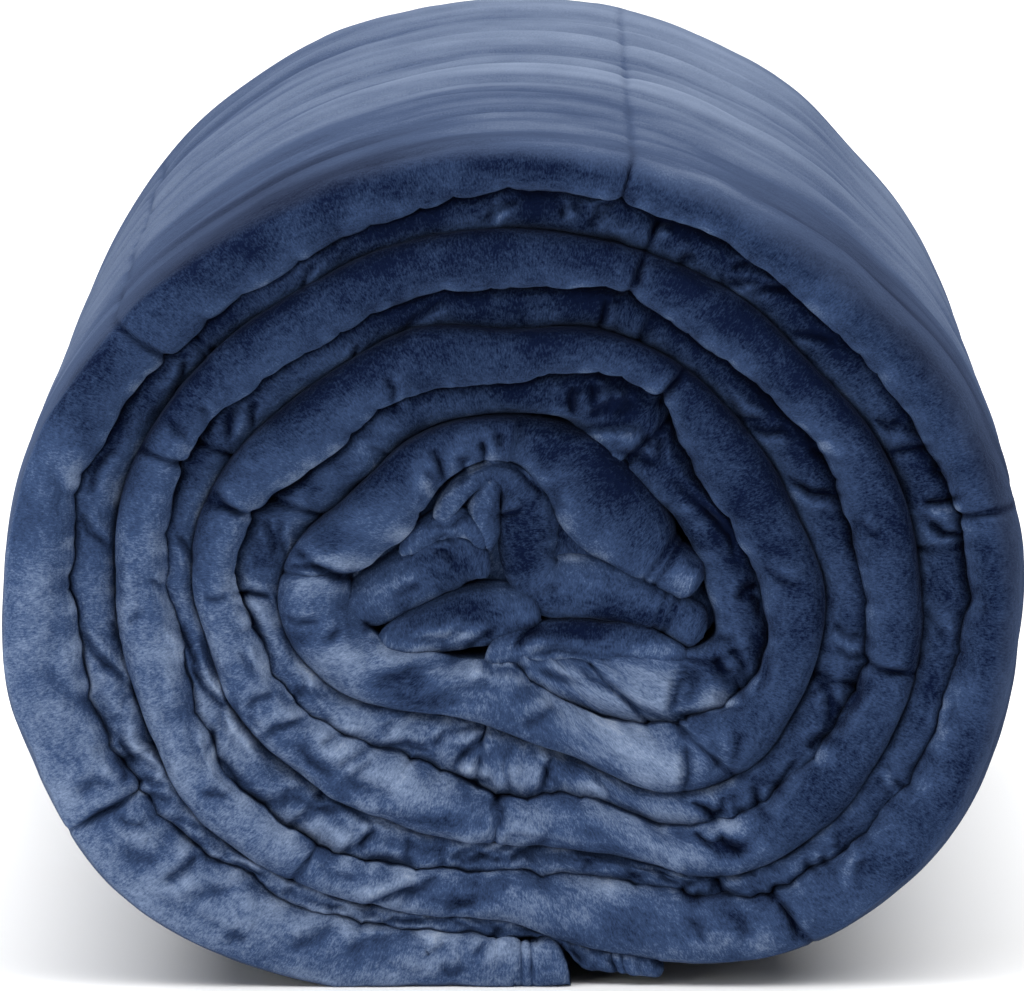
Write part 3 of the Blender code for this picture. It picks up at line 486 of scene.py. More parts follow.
# The drawn creases are pressed a little deeper, and the drawn patches a little weaker, than in their rows.
CREASE_GAIN = 1.35
BULGE_GAIN = 1.15
PATCH_GAIN = 0.85
# The folded edge is pressed down to PRESS_END, fading out from PRESS_FADE, in millimetres.
PRESS_FADE = 30.0
PRESS_END = 50.0

# Tone that folded cloth has: painted sheen where the nap is taken to point at the eye and painted shade where
# it points away, a shift all over, painted shade deep between two rims, a painted highlight at most in a
# pucker, and painted shade at a seam or stitch and on the inner half's upper part.
PALE_SHEEN_TURN = 0.20
DARK_SHADE_TURN = 0.26
FOLDED_SHIFT = -0.07
CREVICE_SHADE_TONE = -0.35
PUCKER_HIGHLIGHT_TONE = 0.34
SEAM_SHADE_TONE = -0.22
UPPER_SHADE_TONE = -0.08
# Tone of the nap: of plain cloth, and added on folded cloth. Then painted light and shade for each
# millimetre: painted shade where a crease is pressed in, and a painted highlight where a ridge swells or the
# filling stands out; and the least and the most that these two add.
PLAIN_TONE = 0.49
FOLDED_TONE = 0.11
CREASE_SHADE_RIDGE_LIGHT = -0.085
LUMP_LIGHT_AND_SHADE = 0.06
DEEPEST_RELIEF_SHADE = -0.4
PALEST_RELIEF_LIGHT = 0.22
# Nap darker than this is lifted halfway to it, so that the darkest nap still shows its tufts.
DARK_NAP = 0.17

# Half the width of the floor sheet, in metres.
FLOOR_REACH = 9.0


def linear(code):
    """An sRGB hex colour as linear RGBA."""
    channels = [int(code[i : i + 2], 16) / 255 for i in (1, 3, 5)]
    return tuple(c / 12.92 if c <= 0.04045 else ((c + 0.055) / 1.055) ** 2.4 for c in channels) + (1.0,)


# ---------------------------------------------------------------- sizes and colours


class BlanketSizes(bpy.types.PropertyGroup):
    length: FloatProperty(
        name="Length", description="Length of the roll", default=NODE_HIGH[1] - NODE_LOW[1], unit="LENGTH"
    )
    axis_height: FloatProperty(
        name="Axis height", description="Height of the winding's axis", default=0.104, unit="LENGTH"
    )
    squash: FloatProperty(
        name="Squash", description="Height of the winding over its width", default=0.783, subtype="FACTOR"
    )
    contact: FloatProperty(
        name="Contact", description="How far neighbouring turns press into each other", default=0.0003,
        unit="LENGTH",
    )
    dish: FloatProperty(
        name="Dish", description="How far back the middle of the roll's end sits", default=0.024,
        unit="LENGTH",
    )
    eye_drop: FloatProperty(
        name="Eye drop", description="Fall of the sight line over the depth of the roll's end",
        default=EYE_SLOPE, subtype="FACTOR",
    )
    square: FloatProperty(
        name="Quilt square", description="Side of a quilted square", default=0.127, unit="LENGTH"
    )
    seam_depth: FloatProperty(
        name="Seam depth", description="How far a seam draws the cloth in", default=0.0012, unit="LENGTH"
    )
    hem_width: FloatProperty(
        name="Hem width", description="Width of the stitched hem", default=0.010, unit="LENGTH"
    )
    scallop: FloatProperty(
        name="Scallop", description="Height of the waves along a folded edge", default=0.0030, unit="LENGTH"
    )
    pleat: FloatProperty(
        name="Pleat depth", description="Depth of the pleats in gathered cloth", default=0.0020, unit="LENGTH"
    )
    seed: IntProperty(name="Seed", description="Seed of the pleats", default=7)


class PlushColours(bpy.types.PropertyGroup):
    deep: FloatVectorProperty(
        name="Deep nap", description="Colour looking into the pile", subtype="COLOR", size=4,
        default=linear("#0c142b"),
    )
    middle: FloatVectorProperty(
        name="Middle nap", description="Colour of the pile at rest", subtype="COLOR", size=4,
        default=linear("#364869"),
    )
    brushed: FloatVectorProperty(
        name="Brushed nap", description="Colour of pile brushed towards the eye", subtype="COLOR", size=4,
        default=linear("#7787a2"),
    )
    lit: FloatVectorProperty(
        name="Lit nap", description="Colour of the palest fibres", subtype="COLOR", size=4,
        default=linear("#a0abbd"),
    )


class StudioSizes(bpy.types.PropertyGroup):
    elevation: FloatProperty(
        name="Elevation", description="Camera's angle above level", default=math.radians(5.2), subtype="ANGLE"
    )
    distance: FloatProperty(
        name="Distance", description="Camera to the folded edge", default=4.5, unit="LENGTH"
    )
    frame_width: FloatProperty(
        name="Frame width", description="Width of the frame at the folded edge", default=0.2625, unit="LENGTH"
    )
    aim_height: FloatProperty(
        name="Aim height", description="Height the camera aims at", default=0.1274, unit="LENGTH"
    )
    aim_side: FloatProperty(
        name="Aim side", description="Distance right of the middle it aims at", default=0.0, unit="LENGTH"
    )
    key_power: FloatProperty(
        name="Key light", description="Power of the overhead softbox", default=600.0, unit="POWER"
    )
    fill_power: FloatProperty(
        name="Fill light", description="Power of the low front light", default=30.0, unit="POWER"
    )
    world_strength: FloatProperty(
        name="World", description="Strength of the white room", default=0.29, subtype="FACTOR"
    )


# ---------------------------------------------------------------- curves and noise


def wound_column(name):
    """Rows of angle and radius for outer or fold, turn after turn, from the start hem to the middle."""
    rows = [(row[0], row[START_HEM_COLUMNS.index(name)]) for row in START_HEM_ROWS]
    for turn in range(4):
        column = ROLL_COLUMNS.index(f"{name}_{turn + 1}")
        rows += [(row[0] + 360 * turn, row[column]) for row in ROLL_ROWS if row[column] is not None]
    return rows


def curve_through(rows, at, column=1):
    """Values at many places along a smooth curve through a table's rows."""
    places = np.array([row[0] for row in rows], float)
    values = np.array([row[column] for row in rows], float)
    slopes = np.gradient(values, places)
    i = np.clip(np.searchsorted(places, at) - 1, 0, len(places) - 2)
    span = places[i + 1] - places[i]
    t = np.clip((at - places[i]) / span, 0.0, 1.0)
    start = (2 * t**3 - 3 * t**2 + 1) * values[i] + (t**3 - 2 * t**2 + t) * slopes[i] * span
    end = (3 * t**2 - 2 * t**3) * values[i + 1] + (t**3 - t**2) * slopes[i + 1] * span
    return start + end


def grain(a, b, seed):
    """Smooth gradient noise over a plane, about -1 to 1. Its lumps are about 1 across, so that dividing
    millimetres by 30 gives lumps of 30 mm."""
    cells = 128
    turns = np.random.default_rng(seed).uniform(0, 2 * math.pi, (cells, cells))
    a, b = np.broadcast_arrays(a, b)
    i = np.floor(a).astype(int)
    j = np.floor(b).astype(int)
    x = a - i
    y = b - j
    total = 0.0
    for di in (0, 1):
        for dj in (0, 1):
            turn = turns[(i + di) % cells, (j + dj) % cells]
            slope = np.cos(turn) * (x - di) + np.sin(turn) * (y - dj)
            near_x = x if di else 1 - x
            near_y = y if dj else 1 - y
            total = total + slope * faded(near_x) * faded(near_y)
    return total * 1.5


def layered(layers, along, across, seed):
    """Sum of grains. A layer holds a height, the size of its lumps along and across, and its number."""
    return sum(
        height * grain(along / long, across / wide, seed + number) for height, long, wide, number in layers
    )


def faded(t):
    """Runs from 0 to 1 with t, level at both ends."""
    return t**3 * (t * (6 * t - 15) + 10)


def bell(distance, width):
    """1 at no distance, falling off over width."""
    return np.exp(-((distance / width) ** 2))


def dimple(distance, profile):
    """Sum of bells, each with a height and a width."""
    return sum(height * bell(distance, width) for height, width in profile)


def ease(value, low, high):
    """0 below low and 1 above high, eased between."""
    t = np.clip((value - low) / (high - low), 0.0, 1.0)
    return t * t * (3 - 2 * t)


def from_frame(x, y):
    """A place in the frame as one in the plane of the folded edge, in millimetres."""
    side = (np.asarray(x) - MIDDLE_COLUMN) * PIXEL
    height = (FLOOR_ROW - np.asarray(y)) * PIXEL * FORESHORTENING
    return np.stack([side, height], axis=-1)


# ---------------------------------------------------------------- the wound strips


OUTER = wound_column("outer")
FOLD = wound_column("fold")


def around(sizes, angle, radius):
    """Places in the plane of the roll's end, in millimetres from the floor line under the axis."""
    turn = np.radians(angle)
    x = -radius * np.sin(turn)
    z = sizes.axis_height / MM - sizes.squash * radius * np.cos(turn)
    return np.stack([x, z], axis=-1)


def run_of(sizes):
    """A fine table of angle and of the distance along the cloth there, in millimetres."""
    fine = np.linspace(OUTER[0][0], FOLD[-1][0], FINE_STEPS)
    middle = around(sizes, fine, (curve_through(OUTER, fine) + curve_through(FOLD, fine)) / 2)
    return fine, np.concatenate([[0.0], np.cumsum(np.hypot(*np.diff(middle, axis=0).T))])


def run_at(sizes, angle):
    """Distance along the cloth at an angle, in millimetres."""
    fine, run = run_of(sizes)
    return np.interp(angle, fine, run)


def floor_limit(sizes, angle):
    """Radius at which a ray from the axis meets the floor, in millimetres."""
    lean = np.maximum(np.cos(np.radians(angle)), 0.1)
    return sizes.axis_height / MM / (sizes.squash * lean)


def crumple_at(angle, column):
    """How crumpled the outer or the inner half is at an angle."""
    return np.interp(angle % 360, [row[0] for row in CRUMPLE_ROWS], [row[column] for row in CRUMPLE_ROWS])


def seam_gap(sizes, angle, lag=0.0):
    """Distance along the cloth to the nearest seam that pinches the folded edge."""
    run = run_at(sizes, angle)
    return np.min([np.abs(run - run_at(sizes, seam + lag)) for seam in SEAM_ANGLES], axis=0)


def outer_radius(sizes, angle):
    """Radius of the outside of a turn, slightly uneven, never below the floor."""
    run = run_at(sizes, angle)
    wander = 0.7 * grain(run / 30, 0.5, sizes.seed)
    return np.minimum(curve_through(OUTER, angle) + wander, floor_limit(sizes, angle))


def fold_radius(sizes, angle):
    """Radius of the line between the halves, with scallops, small puckers and the seams' pinches."""
    run = run_at(sizes, angle)
    crumple = crumple_at(angle, INNER_COLUMN)
    scallop = np.sqrt(np.abs(grain(run / 13, 2.5, sizes.seed + 1))) - 0.45
    pucker = np.abs(grain(run / 5.5, 4.5, sizes.seed + 6)) - 0.3
    wander = 0.8 * grain(run / 45, 3.5, sizes.seed + 2) + 1.4 * bell(seam_gap(sizes, angle), 1.4)
    wander -= sizes.scallop / MM * scallop * (0.35 + 0.65 * crumple)
    wander -= (0.4 + 0.5 * crumple) * pucker
    return np.minimum(curve_through(FOLD, angle) + wander, floor_limit(sizes, angle) - CLOTH_BELOW)


def lining_radius(sizes, angle):
    """Face turned to the middle: the next turn's outer face, or the lining's own."""
    next_turn = outer_radius(sizes, np.minimum(angle + 360, OUTER[-1][0])) - sizes.contact / MM
    return np.where(angle > LINING_ROWS[0][0], curve_through(LINING_ROWS, angle), next_turn)


def even_angles(sizes, low, high):
    """Angles about STATION_MM apart along the middle of the cloth."""
    fine, run = run_of(sizes)
    first, last = np.interp((low, high), fine, run)
    return np.interp(np.linspace(first, last, int((last - first) / STATION_MM)), run, fine)


def ribbon_sides(rows, spacing):
    """The left and the right side of a ribbon through a table's places, at even stations."""
    knots = [(k, *from_frame(x, y), thickness * PIXEL) for k, (x, y, thickness) in enumerate(rows)]
    fine = np.linspace(0, len(rows) - 1, RIBBON_FINE_STEPS)
    x, z, thick = (curve_through(knots, fine, column) for column in (1, 2, 3))
    run = np.concatenate([[0.0], np.cumsum(np.hypot(np.diff(x), np.diff(z)))])
    at = np.linspace(0, run[-1], int(run[-1] / spacing))
    x, z, thick = (np.interp(at, run, values) for values in (x, z, thick))
    dx = np.gradient(x)
    dz = np.gradient(z)
    size = np.hypot(dx, dz)
    reach = np.stack([-dz / size, dx / size], axis=-1) * (thick / 2)[:, None]
    middle = np.stack([x, z], axis=-1)
    return middle + reach, middle - reach


def dished(sizes, flat):
    """How far back the dished end of the roll lies at places in its plane, in millimetres."""
    up = (flat[:, 1] - sizes.axis_height / MM) / sizes.squash
    return sizes.dish / MM * np.clip(1 - np.hypot(flat[:, 0], up) / DISH_REACH, 0.0, 1.0)


class Strip:
    """One half of the blanket or one fold of it: the places of its two faces at each station."""

    def __init__(
        self, sizes, near, far, set_back, crumple,
        outside=None, start_hem=True, end_hem=True, pinch=None, shade=0.0,
    ):
        middle = (near + far) / 2
        self.run = np.concatenate([[0.0], np.cumsum(np.hypot(*np.diff(middle, axis=0).T))])
        self.crumple = crumple
        self.outside = np.zeros(len(near)) if outside is None else outside
        self.set_back = set_back
        self.pinch = np.full(len(near), NOWHERE_NEAR) if pinch is None else pinch
        ends = np.full(len(near), NOWHERE_NEAR)
        if start_hem:
            ends = np.minimum(ends, self.run)
        if end_hem:
            ends = np.minimum(ends, self.run[-1] - self.run)
        width = sizes.hem_width / MM
        share = 1 - HEM_THINNING * (1 - ease(ends, width, width + 8))
        sewn = bell(self.pinch, 0.9)
        # Each row of stitches draws the hem in, sets it back and gets painted shade along it.
        for stitch in (width, width + STITCH_GAP):
            share = share * (1 - 0.07 * bell(ends - stitch, 0.8))
            self.set_back = self.set_back + 1.5 * bell(ends - stitch, 0.7)
            sewn = np.maximum(sewn, bell(ends - stitch, 0.6))
        # Painted shade along the grooves of seams and stitches.
        self.shade = shade + SEAM_SHADE_TONE * sewn
        # The two ends of the strip are rounded off, in section and in depth.
        tip = (1 - np.clip(np.minimum(self.run, self.run[-1] - self.run) / TIP, 0, 1)) ** 2
        share = (share * np.sqrt(np.clip(1 - tip, 0.12, 1)))[:, None]
        self.set_back = self.set_back + 2.5 * tip
        # Cloth that lies on the floor stays on it.
        grounded = (near[:, 1] < 0.2)[:, None]
        self.far = np.where(grounded, near + (far - near) * share, middle + (far - middle) * share)
        self.near = np.where(grounded, near, middle + (near - middle) * share)
        # What sits back in the dish is lowered, so that it keeps its place in the photographed view.
        self.dish = np.stack([dished(sizes, self.near), dished(sizes, self.far)], axis=-1)
        self.near[:, 1] -= self.dish[:, 0] * sizes.eye_drop
        self.far[:, 1] -= self.dish[:, 1] * sizes.eye_drop

    def place(self, run, share):
        """A place in the plane of the end, by distance along the strip and share of its thickness."""
        near = np.array([np.interp(run, self.run, self.near[:, k]) for k in (0, 1)])
        far = np.array([np.interp(run, self.run, self.far[:, k]) for k in (0, 1)])
        return near + (far - near) * share


def joined(polar, ribbon, blend=9):
    """Two runs of stations as one, with the step between them smoothed out."""
    both = np.concatenate([polar, ribbon])
    smooth = both.copy()
    for _ in range(3):
        padded = np.pad(smooth, ((blend, blend), (0, 0)), mode="edge")
        smooth = np.mean([padded[k : k + len(both)] for k in range(2 * blend + 1)], axis=0)
    away = np.abs(np.arange(len(both)) - len(polar))[:, None]
    share = 1 - ease(away, 2 * blend, 5 * blend)
    return both + (smooth - both) * share


def outer_half(sizes):
    """The strip of the outer half, whose end arches over the middle of the roll."""
    angle = even_angles(sizes, *OUTER_ENDS)
    near = around(sizes, angle, outer_radius(sizes, angle))
    far = around(sizes, angle, fold_radius(sizes, angle) - sizes.contact / MM)
    arch_near, arch_far = ribbon_sides(ARCH_END, STATION_MM)
    extra = len(arch_near)
    back = np.concatenate([curve_through(FRONT_ROWS, angle), np.full(extra, ARCH_SET_BACK)])
    # A seam draws the folded edge back, sharply and in a wide dimple.
    gap = seam_gap(sizes, angle)
    back[: len(gap)] += dimple(gap, EDGE_SEAM)
    crumple = np.concatenate([crumple_at(angle, OUTER_COLUMN), np.full(extra, ARCH_CRUMPLE)])
    outside = np.concatenate([np.where(angle < OUTSIDE_END, angle, 0.0), np.zeros(extra)])
    pinch = np.concatenate([gap, np.full(extra, NOWHERE_NEAR)])
    return Strip(sizes, joined(near, arch_near), joined(far, arch_far), back, crumple, outside, pinch=pinch)


def inner_half(sizes):
    """The strip of the inner half, which sits further back towards the top of the roll."""
    angle = even_angles(sizes, *INNER_ENDS)
    near = around(sizes, angle, fold_radius(sizes, angle) + sizes.contact / MM)
    far = around(sizes, angle, lining_radius(sizes, angle))
    gap = seam_gap(sizes, angle, INNER_SEAM_LAG)
    # The upper part sits further back and gets painted shade, as under the outer half's overhang.
    upper = ease(-np.cos(np.radians(angle)), -0.3, 0.6)
    back = curve_through(FRONT_ROWS, angle) + INNER_SET_BACK + 3.0 * upper + 2.5 * bell(gap, 1.3)
    crumple = crumple_at(angle, INNER_COLUMN)
    return Strip(sizes, near, far, back, crumple, end_hem=False, pinch=gap, shade=UPPER_SHADE_TONE * upper)


def core_ribbon(sizes, name):
    """The strip of one fold in the middle. The tongue starts with a hem."""
    near, far = ribbon_sides(CORE_RIBBONS[name], RIBBON_STATION_MM)
    set_back = np.full(len(near), POCKET_SET_BACK if name == "pocket" else CORE_SET_BACK)
    crumple = np.full(len(near), CORE_CRUMPLE)
    return Strip(sizes, near, far, set_back, crumple, start_hem=name == "tongue", end_hem=False)


def section_points(strip, length):
    """Outline of the strip at every station, with each point's share of the thickness and of the rim."""
    near = strip.near
    far = strip.far
    thick = np.hypot(*(near - far).T)
    # A thicker fold rounds over deeper.
    rim_depth = np.clip(thick * 0.6 + 2.0, 3.0, 12.0)
    shoulder = np.where(strip.outside > 0, curve_through(SHOULDER_ROWS, strip.outside), rim_depth)
    rim = np.linspace(0, math.pi, RIM_POINTS)
    shares = 0.5 - 0.5 * np.sign(np.cos(rim)) * np.abs(np.cos(rim)) ** RIM_POWER
    fronts = np.abs(np.sin(rim)) ** RIM_POWER
    # The wrap closes on the hidden inner face, so that the outer face and the rim share one run of cloth.
    rows = [(1.0, 0.0, HIDDEN_DEPTHS[-1])]
    rows += [(1 - shares[k], fronts[k], length - FAR_RIM_DEPTH * (1 - fronts[k])) for k in FAR_RIM_POINTS]
    rows += [(0.0, 0.0, FACE_DEPTH)]
    rows += [(share, front, None) for share, front in zip(shares, fronts)]
    rows += [(1.0, 0.0, depth) for depth in HIDDEN_DEPTHS[:-1]]
    places = np.zeros((len(near), len(rows), 3))
    for j, (share, front, depth) in enumerate(rows):
        # A seam draws the rim together, but hardly the outside of the roll.
        drawn = (share - 0.5) * front * dimple(strip.pinch, RIM_SEAM)
        if share < 0.5:
            drawn = np.where(strip.outside > 0, 0.3 * drawn, drawn)
        flat = near + (far - near) * (share - drawn)[:, None]
        if depth is None:
            back = strip.dish[:, 0] + (strip.dish[:, 1] - strip.dish[:, 0]) * share + strip.set_back
            back = back + (shoulder if share < 0.5 else rim_depth) * (1 - front)
        else:
            back = np.full(len(near), depth)
        places[:, j, 0] = flat[:, 0]
        places[:, j, 1] = back
        places[:, j, 2] = flat[:, 1]
    return places, np.array([row[0] for row in rows]), np.array([row[1] for row in rows])


def strip_into(bm, sizes, strip, outside):
    """Adds a strip to a bmesh as a grid wrapped round its section, welded and capped. The outside of the
    roll gets finer along its length."""
    length = sizes.length / MM
    places, shares, fronts = section_points(strip, length)
    along = places.shape[0] - 1
    across = places.shape[1]
    steps = np.linalg.norm(np.diff(places, axis=1), axis=2)
    reach = np.concatenate([np.zeros((along + 1, 1)), np.cumsum(steps, axis=1)], axis=1)
    made = bmesh.ops.create_grid(bm, x_segments=along, y_segments=across, size=1.0)
    cloth = bm.verts.layers.float_vector["cloth"]
    shape = bm.verts.layers.float_vector["shape"]
    shade = bm.verts.layers.float["shade"]
    grid = {}
    for vertex in made["verts"]:
        i = round((vertex.co.x + 1.0) / 2.0 * along)
        j = round((vertex.co.y + 1.0) / 2.0 * across)
        grid[i, j] = vertex
    for (i, j), vertex in grid.items():
        k = j % across
        vertex.co = places[i, k]
        smooth = strip.outside[i] > 0 and shares[k] < 0.5 and fronts[k] < 0.5
        vertex[cloth] = (strip.run[i], reach[i, k], -1.0 if smooth else strip.crumple[i])
        vertex[shape] = (strip.outside[i], shares[k], fronts[k])
        vertex[shade] = strip.shade[i] * (0.4 if smooth else 1.0)
    bmesh.ops.weld_verts(bm, targetmap={grid[i, across]: grid[i, 0] for i in range(along + 1)})
    for i in (0, along):
        ring = [grid[i, j] for j in range(across)]
        bmesh.ops.edgeloop_fill(bm, edges=[bm.edges.get(pair) for pair in zip(ring, ring[1:] + ring[:1])])
    if outside:
        rails = [
            bm.edges.get((grid[i, OUTER_FACE_ROW], grid[i, OUTER_FACE_ROW + 1]))
            for i in range(along + 1)
            if strip.outside[i] > 0 or i < HEM_STATIONS
        ]
        bmesh.ops.subdivide_edges(bm, edges=rails, cuts=OUTSIDE_CUTS, use_grid_fill=True)


# ---------------------------------------------------------------- relief: creases, pleats and seams


def placed(view, x, y):
    """Places in an enlarged view as ones in the plane of the folded edge, in millimetres."""
    left, top, enlargement = view
    return from_frame(left + np.asarray(x) / enlargement, top + np.asarray(y) / enlargement)


def placed_creases():
    """The drawn creases, as a line of places with a width, a depth and a bulge beside it."""
    creases = []
    for name, rows in CREASES.items():
        for row in rows:
            line = placed(VIEWS[name], row[0:6:2], row[1:6:2])
            width, depth, bulge = row[6:]
            creases.append((line, width, CREASE_GAIN * depth, BULGE_GAIN * bulge))
    return creases


def seen_flat(places, depth):
    """Where each place shows in the plane of the folded edge, for an eye a little above level."""
    rise = EYE_SLOPE * np.clip(depth, 0.0, 40.0)
    return places[:, (0, 2)] + np.stack((np.zeros(len(places)), rise), axis=1)


def nap_and_light_patches(places, depth):
    """Tone that the listed patches add at each place: nap tone, painted highlights and painted shade."""
    tone = np.zeros(len(places))
    flat = seen_flat(places, depth)
    for name, rows in NAP_AND_LIGHT_PATCHES.items():
        enlargement = VIEWS[name][2]
        for x, y, half_width, half_height, strength in rows:
            middle = placed(VIEWS[name], x, y)
            reach = np.array([half_width, half_height]) / enlargement * PIXEL
            tone += PATCH_GAIN * strength * np.exp(-(((flat - middle) / reach) ** 2).sum(axis=1) ** 1.5)
    return tone


def random_pleats(strip, sizes, seed, inner):
    """Pleats along a strip, as a line of places with a width, a depth and a bulge beside it."""
    rng = np.random.default_rng(seed)
    full = sizes.pleat / MM
    pleats = []
    # The inner half is gathered by pleats that run across its folded edge.
    margin = 6.0
    at = margin
    while inner and at < strip.run[-1] - margin:
        crumple = float(np.interp(at, strip.run, strip.crumple))
        if rng.random() < crumple * 0.6:
            start = rng.uniform(0.0, 0.5)
            lean = rng.normal(0, 5.0)
            bow = rng.normal(0, 1.2)
            line = (
                strip.place(at, 1.04),
                strip.place(at + lean / 2 + bow, (1 + start) / 2),
                strip.place(at + lean, start),
            )
            depth = full * (0.3 + 0.5 * crumple) * rng.uniform(0.5, 1.1)
            pleats.append((line, rng.uniform(0.9, 1.6), depth, depth * rng.choice((-0.6, 0.6))))
        at += rng.uniform(7, 15) / (0.35 + crumple)
    # Long wrinkles lie along the folded edge.
    longest = 40.0
    at = 10.0
    while at < strip.run[-1] - longest:
        crumple = float(np.interp(at, strip.run, strip.crumple))
        if rng.random() < crumple:
            long = rng.uniform(14, 36)
            share = rng.uniform(0.15, 0.85)
            drift = rng.normal(0, 0.3)
            line = (
                strip.place(at, share),
                strip.place(at + long / 2, share + drift / 2 + rng.normal(0, 0.08)),
                strip.place(at + long, share + drift),
            )
            depth = full * crumple * rng.uniform(0.4, 0.9)
            pleats.append((line, rng.uniform(1.6, 3.2), depth, depth * rng.choice((-0.6, 0.6))))
        at += rng.uniform(12, 28)
    return pleats


def press_creases(places, creases):
    """Presses creases into the folded edge, draws the cloth towards them and returns how deep each place
    went, in millimetres."""
    pressed = np.zeros(len(places))
    near_front = 1 - ease(places[:, 1], PRESS_FADE, PRESS_END)
    front = np.nonzero(near_front > 0)[0]
    flat = seen_flat(places[front], places[front, 1])
    moves = np.zeros((len(front), 3))
    for line, width, depth, bulge in creases:
        line = np.array(line)
        low = line.min(axis=0) - 4 * width
        high = line.max(axis=0) + 4 * width
        close = np.nonzero(((flat > low) & (flat < high)).all(axis=1))[0]
        if not len(close):
            continue
        points = flat[close]
        lengths = np.hypot(*np.diff(line, axis=0).T)
        total = lengths.sum()
        best = np.full(len(close), NOWHERE_NEAR)
        side = np.zeros(len(close))
        along = np.zeros(len(close))
        normal = np.zeros((len(close), 2))
        done = 0.0
        for a, b, size in zip(line, line[1:], lengths):
            way = (b - a) / max(size, 1e-6)
            rel = points - a
            t = np.clip(rel @ way, 0, size)
            gap = np.hypot(*(rel - t[:, None] * way).T)
            nearer = gap < best
            best[nearer] = gap[nearer]
            across = rel @ np.array([-way[1], way[0]])
            side[nearer] = np.sign(across[nearer])
            along[nearer] = (done + t[nearer]) / total
            normal[nearer] = (-way[1], way[0])
            done += size
        # A crease runs out at both ends, and a ridge swells beside it on the side of its bulge.
        taper = ease(along, -0.05, 0.25) * (1 - ease(along, 0.72, 1.05))
        groove = bell(best, width) * taper
        ridge = bell(best - 2.0 * width, 1.4 * width) * taper * (side * np.sign(bulge) > 0)
        sunk = depth * groove - abs(bulge) * ridge
        pull = 0.35 * best * bell(best, 1.3 * width) * taper * min(1.0, depth / width)
        moves[close, 0] -= side * normal[:, 0] * pull
        moves[close, 1] += sunk
        moves[close, 2] -= side * normal[:, 1] * pull
        pressed[front[close]] += sunk
    places[front] += moves * near_front[front][:, None]
    return pressed * near_front


def rim_lumps(sizes, cloth, shape):
    """Soft uneven filling of the rims, in millimetres outwards."""
    run, reach, crumple = cloth.T
    rim = ease(shape[:, 2], 0.0, 0.5)
    creased = np.maximum(crumple, 0.0) * layered(CRUMPLED_LUMPS, run, reach, sizes.seed)
    return rim * (layered(RIM_LUMPS, run, reach, sizes.seed) + creased)


def outside_relief(sizes, run, angle, depth):
    """Quilted squares on the outside of the roll: sewn lines, soft crowns and long shallow wrinkles."""
    seam_depth = sizes.seam_depth / MM
    square = sizes.square / MM
    seed = sizes.seed
    # None of it shows where the roll lies on the floor or rounds into its ends.
    shown = ease(angle, 17, 40) * (1 - ease(angle, 328, OUTSIDE_END)) * ease(depth, 6, 20)
    shown = shown * (1 - ease(depth, sizes.length / MM - 50, sizes.length / MM - 15))
    to_cross = np.abs((depth / square + 0.5) % 1.0 - 0.5) * square
    to_long = seam_gap(sizes, np.where(angle > 0, angle, 90.0))
    sewn = np.maximum(dimple(to_cross, CROSS_SEAM), dimple(to_long, LONG_SEAM))
    slant = depth + 9 * grain(run / 160, depth / 90, seed + 10)
    wrinkle = layered(WRINKLES, run, slant, seed)
    fold = -0.9 * bell(grain(run / 230, slant / 30, seed + 15), 0.10)
    gather = np.exp(-to_long / GATHER_REACH) * grain(run / 30, depth / 7, seed + 13)
    gather = gather + np.exp(-to_cross / GATHER_REACH) * grain(run / 7, depth / 30, seed + 14)
    return shown * (wrinkle + fold + GATHER_HEIGHT * gather - seam_depth * sewn)


def swell_far_end(sizes, places):
    """Lets the roll change shape towards its far end, where it is slacker at the shoulders."""
    x = places[:, 0]
    up = (places[:, 2] - sizes.axis_height / MM) / sizes.squash
    angle = np.degrees(np.arctan2(-x, -up)) % 360
    swell = curve_through(FAR_END_ROWS, angle)
    swell = swell * ease(places[:, 1], 30, sizes.length / MM * 0.9)
    places[:, 0] += x * swell
    places[:, 2] += (places[:, 2] - sizes.axis_height / MM) * swell


def laid_tone_and_light(sizes, places, angle, run):
    """Tone on the outside of the roll, partly painted light that is palest far back over the top: it changes
    at the first sewn line, in long soft bands.
    """
    depth = places[:, 1] + sizes.length / MM / 2
    square = sizes.square / MM
    seed = sizes.seed
    turn = angle % 360
    front, near, far = (
        np.interp(turn, [row[0] for row in OUTSIDE_TONE_AND_LIGHT_ROWS], [row[k] for row in OUTSIDE_TONE_AND_LIGHT_ROWS]) for k in (1, 2, 3)
    )
    edge = depth + 12 * grain(run / 60, 0.5, seed + 16)
    near = front + (near - front) * ease(edge, 12, 60)
    far_share = 0.6 * ease(edge, 0.70 * square, 1.1 * square) + 0.4 * ease(depth, 0.3 * square, 2.2 * square)
    bands = layered(NAP_BANDS, run, depth, seed)
    # Two dark bands cross the top, one near the first sewn line and one between it and the next.
    dark = -0.10 * bell(edge - 0.88 * square, 20.0) - 0.22 * bell(edge - 1.45 * square, 30.0)
    dark = dark * ease(turn, 120, 145) * (1 - ease(turn, 190, 215))
    return near + (far - near) * far_share + bands + dark


